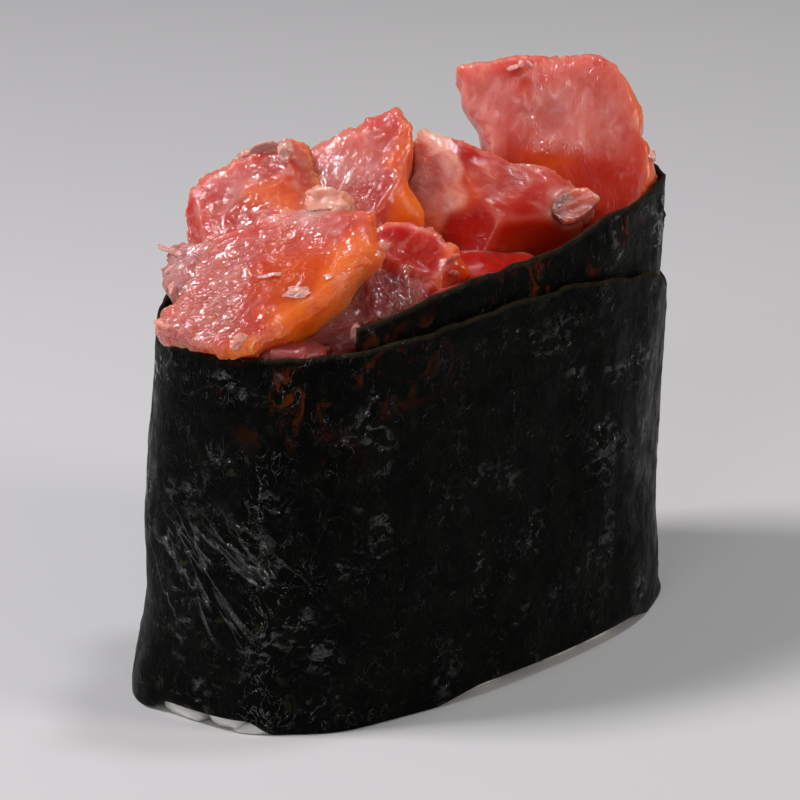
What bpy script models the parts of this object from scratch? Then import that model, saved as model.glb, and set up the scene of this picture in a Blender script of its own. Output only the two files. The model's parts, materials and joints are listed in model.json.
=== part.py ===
"""Tuna gunkan maki: rice wrapped in a tall band of nori and heaped with cut raw tuna.

The origin is at the middle of the bounding box's underside. +X runs along the band to its
taller end, and -Y is the long side on which the two ends of the nori lap over each other.
Lengths are in millimetres until place() turns them into metres.
"""

import math
import random

import bmesh
import bpy
from mathutils import Vector, noise

MM = 0.001

# The band of nori, drawn as a superellipse that changes evenly from the base to the rim.
BAND_HEIGHT = 34.0
BASE_HALF_LENGTH = 25.2
BASE_HALF_WIDTH = 13.4
BASE_SQUARENESS = 2.67
BASE_TAPER = 0.075
RIM_HALF_LENGTH = 23.7
RIM_HALF_WIDTH = 12.1
RIM_SQUARENESS = 2.9
RIM_TAPER = 0.13
RIM_SHIFT_X = 0.7
RIM_SHIFT_Y = -0.5

# The sheet starts on the long front side, goes once round and then laps over its own start.
NORI_THICKNESS = 0.35
LAP_GAP = 0.25
SHEET_START = -125.0
SHEET_END = 403.0
LAP_RISE = 22.0
SHEET_STEP = 6.0
SHEET_ROWS = 7
FULL_TURN = 360.0

# Height of the sheet's upper edge against the angle travelled, in degrees and millimetres.
RIM_HEIGHTS = (
    (-125, 32.2), (-96, 34.1), (-68, 36.0), (-50, 36.5), (-14, 36.2), (15, 35.0), (40, 33.8),
    (90, 33.4), (118, 33.7), (135, 31.9), (160, 30.9), (182, 30.2), (235, 30.6), (275, 31.5),
    (300, 30.0), (324, 27.0), (403, 26.0),
)
# Places where the lower edge is lifted off the plate: angle, half-width of the lift, height.
EDGE_GAP = 0.07
EDGE_LIFTS = ((-171, 22, 1.1), (-80, 28, 0.9))
# Folds in the sheet: angle, height, half-width along the band, half-height, depth outwards.
FOLDS = (
    (140, 9.5, 14, 3.2, -0.9), (142, 18.5, 16, 4.5, 0.35), (-170, 16.0, 10, 8.0, -0.35),
    (-40, 12.0, 26, 17.0, -0.95), (150, 0.0, 22, 4.0, 0.6),
    (-150, 21.0, 9, 7.0, 0.3), (-100, 12.0, 14, 8.0, -0.25), (-70, 22.0, 12, 8.0, 0.2),
    (60, 14.0, 16, 9.0, -0.3), (100, 20.0, 14, 9.0, 0.25),
)
CRINKLE = 0.16

CRINKLE_WAVES = (7.0, 11.0)

# Neighbouring pieces keep this gap, and the rice and tuna keep it to the nori.
CLEARANCE = 0.3
# The sleeve is the space that the nori takes, with its clearance, up to its rim.
SLEEVE_STEP = 8.0
SLEEVE_OUTWARDS = 9.0
SLEEVE_SHARES = (0.0, 0.5, 0.8, 1.0)
SLEEVE_FOOT = -2.0

# The rice: the height and the inset of each ring of its core, and its grains' size.
RICE_RINGS = (
    (0.0, 0.75), (1.5, 0.75), (4.0, 0.8), (10.0, 0.8), (17.0, 0.8), (21.5, 1.6), (23.5, 5.0),
)
RICE_STEP = 12.0
RICE_DOME = 0.6
GRAIN_LENGTH = 5.2
GRAIN_WIDTH = 2.6
GRAINS_ROUND = 26
GRAIN_SEED = 4

# A piece of tuna is a rounded block with an uneven outline, flat faces and soft relief.
TUNA_SQUARENESS = 0.42
TUNA_FLATNESS = 0.6
RELIEF_COARSE = 0.8
RELIEF_FINE = 0.3
RELIEF_SEED = 1

# Each piece: where the middle of its seen face is, which way that faces as azimuth and
# elevation, its reach at equal turns from its own right-hand side, torn tips as angle,
# half-width in degrees and extra reach, how far the face swells in front, how deep the body
# goes behind, and knife planes in its own frame as azimuth, elevation and distance. A piece is
# cut clear of the ones listed before it.
PIECES = {
    "tuna_front_slab": {
        "at": (-18.2, -3.2, 34.4), "faces": (-62, 48), "look": "pink", "sides": 26, "seed": 1,
        "reach": (5.2, 8.4, 6.8, 6.2, 6.4, 7.0, 5.8, 4.2), "tips": ((50, 12, 1.6), (206, 13, 1.9)),
        "front": 1.0, "depth": 5.5, "knife": ((25, 40, 4.6), (-150, 35, 5.2)),
    },
    "tuna_fat_scrap": {
        "at": (-11.6, -3.1, 38.9), "faces": (-55, 55), "look": "fat", "sides": 14, "seed": 2,
        "reach": (1.7, 2.0, 1.9, 2.4, 1.8, 1.6, 2.1, 1.7), "tips": (),
        "front": 0.6, "depth": 1.4, "knife": (),
    },
    "tuna_tall_slab": {
        "at": (14.5, -4.3, 40.0), "faces": (-46, 30), "look": "pink", "sides": 26, "seed": 3,
        "reach": (6.9, 7.2, 6.4, 8.0, 6.3, 5.8, 7.4, 8.8), "tips": ((150, 12, 2.6), (70, 10, 0.4)),
        "front": 1.0, "depth": 7.5, "knife": ((120, 25, 7.0), (-60, 30, 6.4)),
    },
    "tuna_back_middle": {
        "at": (-0.8, 4.2, 38.5), "faces": (-50, 45), "look": "pink", "sides": 22, "seed": 4,
        "reach": (3.8, 5.8, 3.9, 4.0, 5.2, 6.0, 6.2, 5.6), "tips": ((64, 16, 0.9), (318, 12, 1.2)),
        "front": 1.4, "depth": 7.0, "knife": ((-120, 45, 3.6), (60, 40, 3.8)),
    },
    "tuna_pale_wedge": {
        "at": (11.2, -8.8, 35.9), "faces": (-40, 45), "look": "fat", "sides": 14, "seed": 11,
        "reach": (1.9, 1.3, 0.9, 1.2, 1.9, 1.3, 1.2, 1.4), "tips": (),
        "front": 0.6, "depth": 3.0, "knife": (),
    },
    "tuna_long_piece": {
        "at": (6.5, -2.7, 35.0), "faces": (-42, 38), "look": "red", "sides": 24, "seed": 5,
        "reach": (8.7, 5.2, 5.5, 7.4, 6.8, 7.4, 6.6, 6.8), "tips": ((118, 12, 1.8),),
        "front": 1.8, "depth": 8.0, "knife": ((-95, 48, 3.4), (10, 52, 2.5)),
    },
    "tuna_back_left": {
        "at": (-8.7, 8.3, 37.5), "faces": (-60, 40), "look": "pink", "sides": 20, "seed": 6,
        "reach": (5.2, 5.3, 3.6, 3.0, 4.6, 6.0, 6.0, 5.6), "tips": ((60, 16, 1.5),),
        "front": 1.0, "depth": 5.0, "knife": ((-70, 45, 3.6), (110, 40, 3.6)),
    },
    "tuna_small_red": {
        "at": (-4.6, -5.5, 34.0), "faces": (-35, 48), "look": "red", "sides": 18, "seed": 7,
        "reach": (3.6, 3.2, 3.4, 4.2, 4.2, 3.8, 3.6, 3.6), "tips": ((0, 14, 0.8),),
        "front": 0.9, "depth": 4.5, "knife": ((60, 40, 2.6),),
    },
    "tuna_ribbed": {
        "at": (-9.8, -6.8, 32.0), "faces": (-35, 58), "look": "dark", "sides": 18, "seed": 8,
        "reach": (3.8, 3.4, 3.8, 3.8, 4.2, 3.8, 2.8, 2.8), "tips": ((8, 12, 0.7),),
        "front": 0.8, "depth": 4.0, "knife": (),
    },
    "tuna_frayed": {
        "at": (-18.2, 4.6, 34.0), "faces": (-65, 50), "look": "pink", "sides": 16, "seed": 9,
        "reach": (3.4, 3.6, 2.8, 2.8, 2.1, 2.9, 3.4, 3.2), "tips": ((140, 12, 0.5), (185, 9, 0.6)),
        "front": 0.8, "depth": 4.0, "knife": (),
    },
    "tuna_under_slab": {
        "at": (-15.0, -6.4, 30.6), "faces": (-40, 50), "look": "dark", "sides": 14, "seed": 10,
        "reach": (2.6, 2.8, 3.2, 3.8, 4.0, 3.4, 2.4, 2.2), "tips": (),
        "front": 0.6, "depth": 3.5, "knife": (),
    },
    "tuna_back_right": {
        "at": (15.5, 5.6, 34.3), "faces": (150, 55), "look": "pink", "sides": 16, "seed": 15,
        "reach": (6.0, 5.0, 5.0, 5.8, 6.4, 5.4, 4.6, 5.2), "tips": ((30, 14, 1.0),),
        "front": 1.2, "depth": 5.5, "knife": ((-60, 45, 3.6),),
    },
    "tuna_back_centre": {
        "at": (3.6, 8.4, 33.4), "faces": (175, 50), "look": "red", "sides": 16, "seed": 16,
        "reach": (5.4, 4.6, 4.4, 5.0, 5.6, 4.6, 4.0, 4.6), "tips": ((160, 12, 0.9),),
        "front": 1.0, "depth": 5.0, "knife": ((40, 45, 3.2),),
    },
    "tuna_base_left": {
        "at": (-16.0, 0.8, 30.0), "faces": (0, 90), "look": "dark", "sides": 18, "seed": 21,
        "reach": (5.5, 7.5, 9.0, 8.8, 7.2, 8.6, 9.0, 7.5), "tips": (),
        "front": 1.0, "depth": 5.5, "knife": (),
    },
    "tuna_base_front": {
        "at": (-1.5, -7.4, 31.4), "faces": (0, 90), "look": "red", "sides": 18, "seed": 13,
        "reach": (9.0, 7.0, 5.5, 7.0, 8.5, 7.5, 6.0, 8.0), "tips": (),
        "front": 1.0, "depth": 6.5, "knife": (),
    },
    "tuna_base_back": {
        "at": (-3.0, 5.5, 30.6), "faces": (0, 90), "look": "dark", "sides": 16, "seed": 17,
        "reach": (7.5, 7.0, 6.5, 7.5, 8.0, 7.0, 6.0, 7.0), "tips": (),
        "front": 1.0, "depth": 6.0, "knife": (),
    },
    "tuna_base_right": {
        "at": (15.5, -0.8, 32.2), "faces": (0, 90), "look": "red", "sides": 18, "seed": 14,
        "reach": (8.5, 10.5, 12.0, 9.5, 7.5, 9.0, 12.0, 11.0), "tips": (),
        "front": 1.0, "depth": 7.5, "knife": (),
    },
}

TUNA_RED = (0.56, 0.065, 0.045)
TUNA_PINK = (0.68, 0.17, 0.13)
TUNA_DARK = (0.25, 0.02, 0.03)
FAT_PALE = (0.78, 0.42, 0.28)
NORI_COLOUR = (0.006, 0.008, 0.005)
RICE_COLOUR = (0.78, 0.76, 0.70)


def material(name, colour, roughness):
    """Make a non-metallic Principled material."""
    made = bpy.data.materials.new(name)
    made.use_nodes = True
    shader = made.node_tree.nodes["Principled BSDF"]
    shader.inputs["Base Color"].default_value = (*colour, 1.0)
    shader.inputs["Roughness"].default_value = roughness
    shader.inputs["Metallic"].default_value = 0.0
    return made


def smooth(value):
    """Ease a value from 0 to 1, level at both ends."""
    value = min(max(value, 0.0), 1.0)
    return value * value * (3.0 - 2.0 * value)


def eased(table, at):
    """Read a table of (position, value) pairs, easing from each pair to the next."""
    if at <= table[0][0]:
        return table[0][1]
    for (left, low), (right, high) in zip(table, table[1:]):
        if at <= right:
            return low + (high - low) * smooth((at - left) / (right - left))
    return table[-1][1]


def signed_power(value, power):
    """Raise a value's size to a power and keep its sign."""
    return math.copysign(abs(value) ** power, value)


def band_point(angle, height, outwards=0.0):
    """Return the place of a point on the band's outer face, moved outwards by a distance."""
    up = height / BAND_HEIGHT
    length = BASE_HALF_LENGTH + (RIM_HALF_LENGTH - BASE_HALF_LENGTH) * up
    width = BASE_HALF_WIDTH + (RIM_HALF_WIDTH - BASE_HALF_WIDTH) * up
    power = 2.0 / (BASE_SQUARENESS + (RIM_SQUARENESS - BASE_SQUARENESS) * up)
    taper = BASE_TAPER + (RIM_TAPER - BASE_TAPER) * up
    along = signed_power(math.cos(math.radians(angle)), power)
    across = signed_power(math.sin(math.radians(angle)), power)
    x = (length + outwards) * along
    y = (width + outwards) * (1.0 + taper * along) * across
    return x + RIM_SHIFT_X * up, y + RIM_SHIFT_Y * up


def fold_depth(angle, height):
    """Return how far the folds and crinkles push the band out at a place."""
    depth = 0.0
    for at_angle, at_height, wide, tall, out in FOLDS:
        turn = (angle - at_angle + FULL_TURN / 2) % FULL_TURN - FULL_TURN / 2
        depth += out * math.exp(-((turn / wide) ** 2) - ((height - at_height) / tall) ** 2)
    swing = math.radians(angle)
    slow = math.sin(CRINKLE_WAVES[0] * swing + 0.21 * height)
    quick = math.sin(CRINKLE_WAVES[1] * swing - 0.33 * height + 1.3)
    return depth + CRINKLE * (slow + quick) / 2


def lower_edge(angle):
    """Return the height of the band's lower edge, a hair above the rice's flat underside."""
    height = EDGE_GAP
    for at_angle, wide, lift in EDGE_LIFTS:
        turn = abs((angle - at_angle + FULL_TURN / 2) % FULL_TURN - FULL_TURN / 2)
        height = max(height, lift * smooth((wide - turn) / (0.45 * wide)))
    return height


def lap_offset(angle):
    """Return how far out the sheet rides where it passes over its own start."""
    start_again = SHEET_START + FULL_TURN
    rise = smooth((angle - start_again + LAP_RISE) / LAP_RISE)
    return (NORI_THICKNESS + LAP_GAP) * rise


def sheet_point(angle, share):
    """Return a point on the sheet at a share of its height, 0 at the lower edge."""
    low = lower_edge(angle)
    height = low + (eased(RIM_HEIGHTS, angle) - low) * share
    x, y = band_point(angle, height, fold_depth(angle, height) + lap_offset(angle))
    return Vector((x, y, height))


def bridge(bm, low, high, closed=True):
    """Join two rows of vertices with faces, all the way round if they are rings."""
    columns = len(low)
    for index in range(columns if closed else columns - 1):
        after = (index + 1) % columns
        bm.faces.new((low[index], low[after], high[after], high[index]))


def loft(rows, closed):
    """Make a surface through rows of points, each row closed into a ring if asked."""
    bm = bmesh.new()
    grid = [[bm.verts.new(point) for point in row] for row in rows]
    for low, high in zip(grid, grid[1:]):
        bridge(bm, low, high, closed)
    return bm, grid


def place(name, bm, collection, look):
    """Turn a bmesh in millimetres into an object in metres."""
    bmesh.ops.scale(bm, vec=(MM, MM, MM), verts=bm.verts)
    mesh = bpy.data.meshes.new(name)
    bm.to_mesh(mesh)
    bm.free()
    mesh.shade_smooth()
    if look is not None:
        mesh.materials.append(look)
    made = bpy.data.objects.new(name, mesh)
    collection.objects.link(made)
    return made


def make_nori(collection, look):
    """Make the one spiral sheet of nori."""
    steps = round((SHEET_END - SHEET_START) / SHEET_STEP)
    angles = [SHEET_START + (SHEET_END - SHEET_START) * step / steps for step in range(steps + 1)]
    rows = [[sheet_point(angle, row / SHEET_ROWS) for angle in angles] for row in range(SHEET_ROWS + 1)]
    bm, _ = loft(rows, closed=False)
    nori = place("nori", bm, collection, look)
    wall = nori.modifiers.new("wall", "SOLIDIFY")
    wall.thickness = NORI_THICKNESS * MM
    wall.offset = -1.0
    wall.use_even_offset = True
    return nori


def ring(angle_step, height_of, outwards):
    """Return a ring of points round the band at heights given for each angle."""
    points = []
    angle = -180.0
    while angle < 180.0 - 1e-6:
        height = height_of(angle)
        x, y = band_point(angle, height, outwards + fold_depth(angle, height))
        points.append(Vector((x, y, height)))
        angle += angle_step
    return points


def rim_height(angle):
    """Return the height of the highest layer of nori at a place."""
    heights = []
    for lap in (0.0, FULL_TURN):
        travelled = angle + lap
        if SHEET_START <= travelled <= SHEET_END:
            heights.append(eased(RIM_HEIGHTS, travelled))
    return max(heights)


def sleeve_foot(angle):
    """Return how low the sleeve reaches: past the plate, except where the nori is lifted."""
    edge = lower_edge(angle)
    return edge - CLEARANCE if edge > 2 * CLEARANCE else SLEEVE_FOOT


def sleeve_height(angle, share):
    """Return a height at a share of the way up the sleeve."""
    foot = sleeve_foot(angle)
    return foot + (rim_height(angle) + CLEARANCE - foot) * share


def make_sleeve(collection):
    """Make the cutter that keeps the rice and the tuna clear of the nori."""
    inwards = -CLEARANCE - NORI_THICKNESS
    rows = [ring(SLEEVE_STEP, lambda angle, s=share: sleeve_height(angle, s), inwards)
            for share in SLEEVE_SHARES]
    top = ring(SLEEVE_STEP, lambda angle: sleeve_height(angle, 1.0), SLEEVE_OUTWARDS)
    foot = [Vector((point.x, point.y, below.z)) for point, below in zip(top, rows[0])]
    bm, grid = loft([*rows, top, foot], closed=True)
    bridge(bm, grid[-1], grid[0])
    bmesh.ops.recalc_face_normals(bm, faces=bm.faces)
    bmesh.ops.triangulate(bm, faces=bm.faces)
    return place("sleeve", bm, collection, None)


def apply_boolean(target, operation, cutter=None, cutters=None):
    """Cut or join a mesh object once and keep the result."""
    step = target.modifiers.new("step", "BOOLEAN")
    step.operation = operation
    step.solver = "EXACT"
    if cutters is None:
        step.object = cutter
    else:
        step.operand_type = "COLLECTION"
        step.collection = cutters
    graph = bpy.context.evaluated_depsgraph_get()
    made = bpy.data.meshes.new_from_object(target.evaluated_get(graph))
    target.modifiers.remove(step)
    old = target.data
    made.name = target.name
    target.data = made
    bpy.data.meshes.remove(old)


def apply_union(target, collection):
    """Join the objects of a collection to a target, then remove them."""
    apply_boolean(target, "UNION", cutters=collection)
    for joined in list(collection.objects):
        bpy.data.objects.remove(joined)
    bpy.data.collections.remove(collection)


def make_rice_core(collection, look):
    """Make the rice's core, flat below and gently domed above."""
    rows = [ring(RICE_STEP, lambda angle, z=height: z, -inset) for height, inset in RICE_RINGS]
    for point in rows[-1]:
        point.z += 0.5 * noise.noise(point * 0.3)
    bm, grid = loft(rows, closed=True)
    bm.faces.new(list(reversed(grid[0])))
    top = grid[-1]
    peak = bm.verts.new((RIM_SHIFT_X, RIM_SHIFT_Y, RICE_RINGS[-1][0] + RICE_DOME))
    for index, vertex in enumerate(top):
        bm.faces.new((vertex, top[(index + 1) % len(top)], peak))
    return place("rice", bm, collection, look)


def make_grain(name, at, along, size, collection):
    """Make one rice grain that points along a direction."""
    bm = bmesh.new()
    bmesh.ops.create_uvsphere(bm, u_segments=6, v_segments=3, radius=0.5)
    bmesh.ops.scale(bm, vec=size, verts=bm.verts)
    turn = Vector((1.0, 0.0, 0.0)).rotation_difference(along)
    for vertex in bm.verts:
        vertex.co.rotate(turn)
        vertex.co += at
    return place(name, bm, collection, None)


def make_rice(collection, look, sleeve):
    """Make the rice: its core with grains fused on round the base."""
    rice = make_rice_core(collection, look)
    grains = new_collection("grains")
    draw = random.Random(GRAIN_SEED)
    for index in range(GRAINS_ROUND):
        angle = -180.0 + FULL_TURN * (index + draw.uniform(-0.2, 0.2)) / GRAINS_ROUND
        lifted = lower_edge(angle) > CLEARANCE
        height = draw.uniform(0.3, 0.6) if lifted else draw.uniform(0.9, 1.9)
        inset = draw.uniform(0.75, 1.0) if lifted else draw.uniform(1.0, 1.4)
        before = Vector((*band_point(angle - 3.0, height), height))
        after = Vector((*band_point(angle + 3.0, height), height + draw.uniform(-0.8, 0.8)))
        at = Vector((*band_point(angle, height, fold_depth(angle, height) - inset), height))
        length = GRAIN_LENGTH * draw.uniform(0.85, 1.1)
        size = (length, GRAIN_WIDTH, GRAIN_WIDTH * draw.uniform(0.8, 1.0))
        make_grain(f"grain_{index}", at, (after - before).normalized(), size, grains)
    apply_union(rice, grains)
    apply_boolean(rice, "DIFFERENCE", cutter=sleeve)
    cut_flat(rice)
    return rice


def slice_off(bm, point, outwards):
    """Cut a closed mesh with a plane, drop what lies outwards of it, and close the cut."""
    everything = [*bm.verts, *bm.edges, *bm.faces]
    cut = bmesh.ops.bisect_plane(bm, geom=everything, dist=1e-7, plane_co=point,
                                 plane_no=outwards, clear_outer=True)
    rim = [item for item in cut["geom_cut"] if isinstance(item, bmesh.types.BMEdge)]
    bmesh.ops.holes_fill(bm, edges=rim)


def cut_flat(target):
    """Cut a mesh object off flat at its rest plane."""
    bm = bmesh.new()
    bm.from_mesh(target.data)
    slice_off(bm, Vector(), Vector((0.0, 0.0, -1.0)))
    bm.to_mesh(target.data)
    bm.free()


def facing_axes(azimuth, elevation):
    """Return the right, up and outward directions of a face seen square on."""
    turn = math.radians(azimuth)
    lift = math.radians(elevation)
    level = math.cos(lift)
    outward = Vector((math.sin(turn) * level, -math.cos(turn) * level, math.sin(lift)))
    right = Vector((math.cos(turn), math.sin(turn), 0.0))
    return right, outward.cross(right), outward


def reach_at(reach, turn):
    """Read the reach of a piece at an angle, smoothly between its equally spaced values."""
    steps = (turn / (2.0 * math.pi)) % 1.0 * len(reach)
    before = int(steps)
    share = steps - before
    count = len(reach)
    p0, p1, p2, p3 = (reach[(before + step) % count] for step in (-1, 0, 1, 2))
    bend = (p2 - p0) + share * (2 * p0 - 5 * p1 + 4 * p2 - p3 + share * (3 * (p1 - p2) + p3 - p0))
    return p1 + 0.5 * share * bend


def tip_at(tips, turn):
    """Return the extra reach that torn tips give a piece at an angle."""
    extra = 0.0
    for angle, wide, out in tips:
        apart = (math.degrees(turn) - angle + FULL_TURN / 2) % FULL_TURN - FULL_TURN / 2
        extra += out * math.exp(-((apart / wide) ** 2))
    return extra


def chunk_mesh(spec, swell):
    """Make a cut piece of fish: an uneven outline with a seen face in front and a body behind."""
    bm = bmesh.new()
    sides = spec["sides"]
    bmesh.ops.create_uvsphere(bm, u_segments=sides, v_segments=sides // 2 - 1, radius=1.0)
    for vertex in bm.verts:
        x, y, z = vertex.co.normalized()
        level = math.hypot(x, y)
        spread = level ** TUNA_SQUARENESS if level > 1e-4 else 0.0
        turn = math.atan2(y, x)
        reached = (reach_at(spec["reach"], turn) + tip_at(spec["tips"], turn) + swell) * spread
        rise = signed_power(z, TUNA_FLATNESS) * (spec["front" if z > 0 else "depth"] + swell)
        point = Vector((reached * math.cos(turn), reached * math.sin(turn), rise))
        shift = Vector((17.3, 5.1, 9.7)) * spec["seed"]
        point += RELIEF_COARSE * noise.noise_vector(point * 0.16 + shift)
        point += RELIEF_FINE * noise.noise_vector(point * 0.45 + shift)
        vertex.co = point
    bmesh.ops.triangulate(bm, faces=bm.faces)
    return bm


def make_chunk(name, spec, collection, look, swell=0.0):
    """Make one piece of tuna from its specification."""
    bm = chunk_mesh(spec, swell)
    for azimuth, elevation, distance in spec["knife"]:
        _, _, outwards = facing_axes(azimuth, elevation)
        slice_off(bm, outwards * (distance + swell), outwards)
    right, up, out = facing_axes(*spec["faces"])
    at = Vector(spec["at"])
    for vertex in bm.verts:
        x, y, z = vertex.co
        vertex.co = at + right * x + up * y + out * z
    return place(name, bm, collection, look)


def make_tuna(collection, cutters, looks, sleeve):
    """Make the heap of tuna, each piece cut clear of the nori and of the ones that lie on it."""
    made = []
    blockers = [sleeve]
    for name, spec in PIECES.items():
        piece = make_chunk(name, spec, collection, looks[spec["look"]])
        touching = new_collection("touching")
        for blocker in blockers:
            if boxes_meet(piece, blocker):
                touching.objects.link(blocker)
        apply_boolean(piece, "DIFFERENCE", cutters=touching)
        bpy.data.collections.remove(touching)
        keep_largest(piece)
        blockers.append(make_chunk(f"{name}_clearance", spec, cutters, None, swell=CLEARANCE))
        made.append(piece)
    return made


def boxes_meet(first, second):
    """Say whether the bounding boxes of two objects overlap."""
    for axis in range(3):
        spans = [[corner[axis] for corner in item.bound_box] for item in (first, second)]
        if min(spans[0]) > max(spans[1]) or min(spans[1]) > max(spans[0]):
            return False
    return True


def keep_largest(target):
    """Drop the loose scraps that a cut leaves, and clean up what stays."""
    bm = bmesh.new()
    bm.from_mesh(target.data)
    bmesh.ops.remove_doubles(bm, verts=bm.verts, dist=0.01 * MM)
    bmesh.ops.dissolve_degenerate(bm, edges=bm.edges, dist=0.01 * MM)
    unseen = set(bm.faces)
    groups = []
    while unseen:
        group = []
        queue = [unseen.pop()]
        while queue:
            face = queue.pop()
            group.append(face)
            joints = [edge for edge in face.edges if len(edge.link_faces) == 2]
            near = {other for edge in joints for other in edge.link_faces}
            queue.extend(near & unseen)
            unseen -= near
        groups.append(group)
    groups.sort(key=lambda group: sum(face.calc_area() for face in group))
    scraps = [face for group in groups[:-1] for face in group]
    bmesh.ops.delete(bm, geom=scraps, context="FACES")
    bm.to_mesh(target.data)
    bm.free()


def new_collection(name):
    """Make a collection in the scene."""
    made = bpy.data.collections.new(name)
    bpy.context.scene.collection.children.link(made)
    return made


def centre(items):
    """Move everything so that the origin is under the middle of the whole bounding box."""
    graph = bpy.context.evaluated_depsgraph_get()
    points = []
    for item in items:
        mesh = item.evaluated_get(graph).to_mesh()
        points.extend(vertex.co.copy() for vertex in mesh.vertices)
        item.evaluated_get(graph).to_mesh_clear()
    shift = Vector()
    for axis in range(3):
        low = min(point[axis] for point in points)
        high = max(point[axis] for point in points)
        shift[axis] = -low if axis == 2 else -(low + high) / 2.0
    for item in items:
        for vertex in item.data.vertices:
            vertex.co += shift


def build():
    """Build the whole gunkan maki."""
    for item in list(bpy.data.objects):
        bpy.data.objects.remove(item)
    noise.seed_set(RELIEF_SEED)
    parts = new_collection("tuna_gunkan_maki")
    cutters = new_collection("cutters")
    looks = {
        "red": material("tuna_red", TUNA_RED, 0.25),
        "pink": material("tuna_pink", TUNA_PINK, 0.25),
        "dark": material("tuna_dark", TUNA_DARK, 0.25),
        "fat": material("tuna_fat", FAT_PALE, 0.2),
    }
    sleeve = make_sleeve(cutters)
    nori = make_nori(parts, material("nori", NORI_COLOUR, 0.35))
    rice = make_rice(parts, material("rice", RICE_COLOUR, 0.45), sleeve)
    tuna = make_tuna(parts, cutters, looks, sleeve)
    for cutter in cutters.objects:
        cutter.hide_render = True
        cutter.display_type = "WIRE"
    centre([nori, rice, *tuna])


build()
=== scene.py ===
"""Looks for the tuna gunkan maki: wet tuna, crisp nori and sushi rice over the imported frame."""

import itertools
import json
import math
import random

import bpy
import numpy as np
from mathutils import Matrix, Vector
from mathutils.bvhtree import BVHTree

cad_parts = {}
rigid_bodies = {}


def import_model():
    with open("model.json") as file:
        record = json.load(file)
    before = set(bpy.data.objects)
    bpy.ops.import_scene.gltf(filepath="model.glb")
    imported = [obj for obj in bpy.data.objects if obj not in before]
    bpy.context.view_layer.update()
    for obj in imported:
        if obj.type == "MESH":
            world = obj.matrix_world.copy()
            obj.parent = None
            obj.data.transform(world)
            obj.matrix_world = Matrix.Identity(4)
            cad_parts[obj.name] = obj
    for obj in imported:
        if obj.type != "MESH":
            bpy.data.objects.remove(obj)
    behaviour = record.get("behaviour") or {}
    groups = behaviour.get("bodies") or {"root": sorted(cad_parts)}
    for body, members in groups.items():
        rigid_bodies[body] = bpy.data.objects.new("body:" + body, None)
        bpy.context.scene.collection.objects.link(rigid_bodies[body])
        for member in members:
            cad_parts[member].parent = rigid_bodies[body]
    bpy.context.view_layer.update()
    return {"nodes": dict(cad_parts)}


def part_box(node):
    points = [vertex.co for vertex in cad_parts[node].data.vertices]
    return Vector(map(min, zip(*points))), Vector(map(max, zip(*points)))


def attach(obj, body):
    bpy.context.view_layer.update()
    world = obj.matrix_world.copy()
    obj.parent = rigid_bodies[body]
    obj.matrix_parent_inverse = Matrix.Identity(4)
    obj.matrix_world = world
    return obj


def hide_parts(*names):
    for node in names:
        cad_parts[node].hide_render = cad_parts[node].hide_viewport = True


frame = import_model()

MM = 0.001
FULL_TURN = 360.0

# The band of nori: the same named sizes as its solid, in millimetres and degrees.
BAND_HEIGHT = 34.0
BASE_HALF_LENGTH = 25.2
BASE_HALF_WIDTH = 13.4
BASE_SQUARENESS = 2.67
BASE_TAPER = 0.075
RIM_HALF_LENGTH = 23.7
RIM_HALF_WIDTH = 12.1
RIM_SQUARENESS = 2.9
RIM_TAPER = 0.13
RIM_SHIFT_X = 0.7
RIM_SHIFT_Y = -0.5
NORI_THICKNESS = 0.32
LAP_OFFSET = 0.6
SHEET_START = -125.0
SHEET_END = 403.0
LAP_START = 235.0
LAP_RISE = 22.0
RIM_HEIGHTS = (
    (-125, 32.2), (-96, 34.1), (-68, 36.0), (-50, 36.5), (-14, 36.2), (15, 35.0), (40, 33.8),
    (90, 33.4), (118, 33.7), (135, 31.9), (160, 30.9), (182, 30.2), (235, 30.6), (275, 31.5),
    (300, 30.0), (324, 27.0), (403, 26.0),
)
EDGE_GAP = 0.07
EDGE_LIFTS = ((-171, 22, 1.1), (-80, 28, 0.9))
FOLDS = (
    (140, 9.5, 14, 3.2, -0.9), (142, 18.5, 16, 4.5, 0.35), (-170, 16.0, 10, 8.0, -0.35),
    (-40, 12.0, 26, 17.0, -0.95), (150, 0.0, 22, 4.0, 0.6), (-150, 21.0, 9, 7.0, 0.3),
    (-100, 12.0, 14, 8.0, -0.25), (-70, 22.0, 12, 8.0, 0.2), (60, 14.0, 16, 9.0, -0.3),
    (100, 20.0, 14, 9.0, 0.25),
)
CRINKLE = 0.16
CRINKLE_WAVES = (7.0, 11.0)
CORE_STEP = 6.0
CORE_ROWS = 7

# The sheet's mesh, how worn its rim is and how deep its relief and smeared ridges are.
NORI_COLUMNS = 480
NORI_ROWS = 70
RIM_WEAR = 0.13
UNEVEN = 0.03
DENTS = 0.16
CREASES = 0.05
FIBRES = 0.045
RIDGES = 0.26

# The rice: its grains, how many lie in each layer, and the core, drawn in near the floor.
GRAIN_LENGTH = 5.2
GRAIN_WIDTH = 2.6
GRAIN_AROUND = 10
GRAIN_RINGS = 8
GRAINS_ROUND = 26
GRAIN_SEED = 4
LAYERS = (("under", 150), ("side", 260), ("top", 120))
UNDER_HEIGHT = 1.15
TOP_HEIGHT = 22.6
CLEARANCE = 0.3
FLOOR_GAP = 0.02
CORE_CELL = 0.8
CORE_TUCK = 0.035
TUCK_HEIGHT = 3.0

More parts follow.
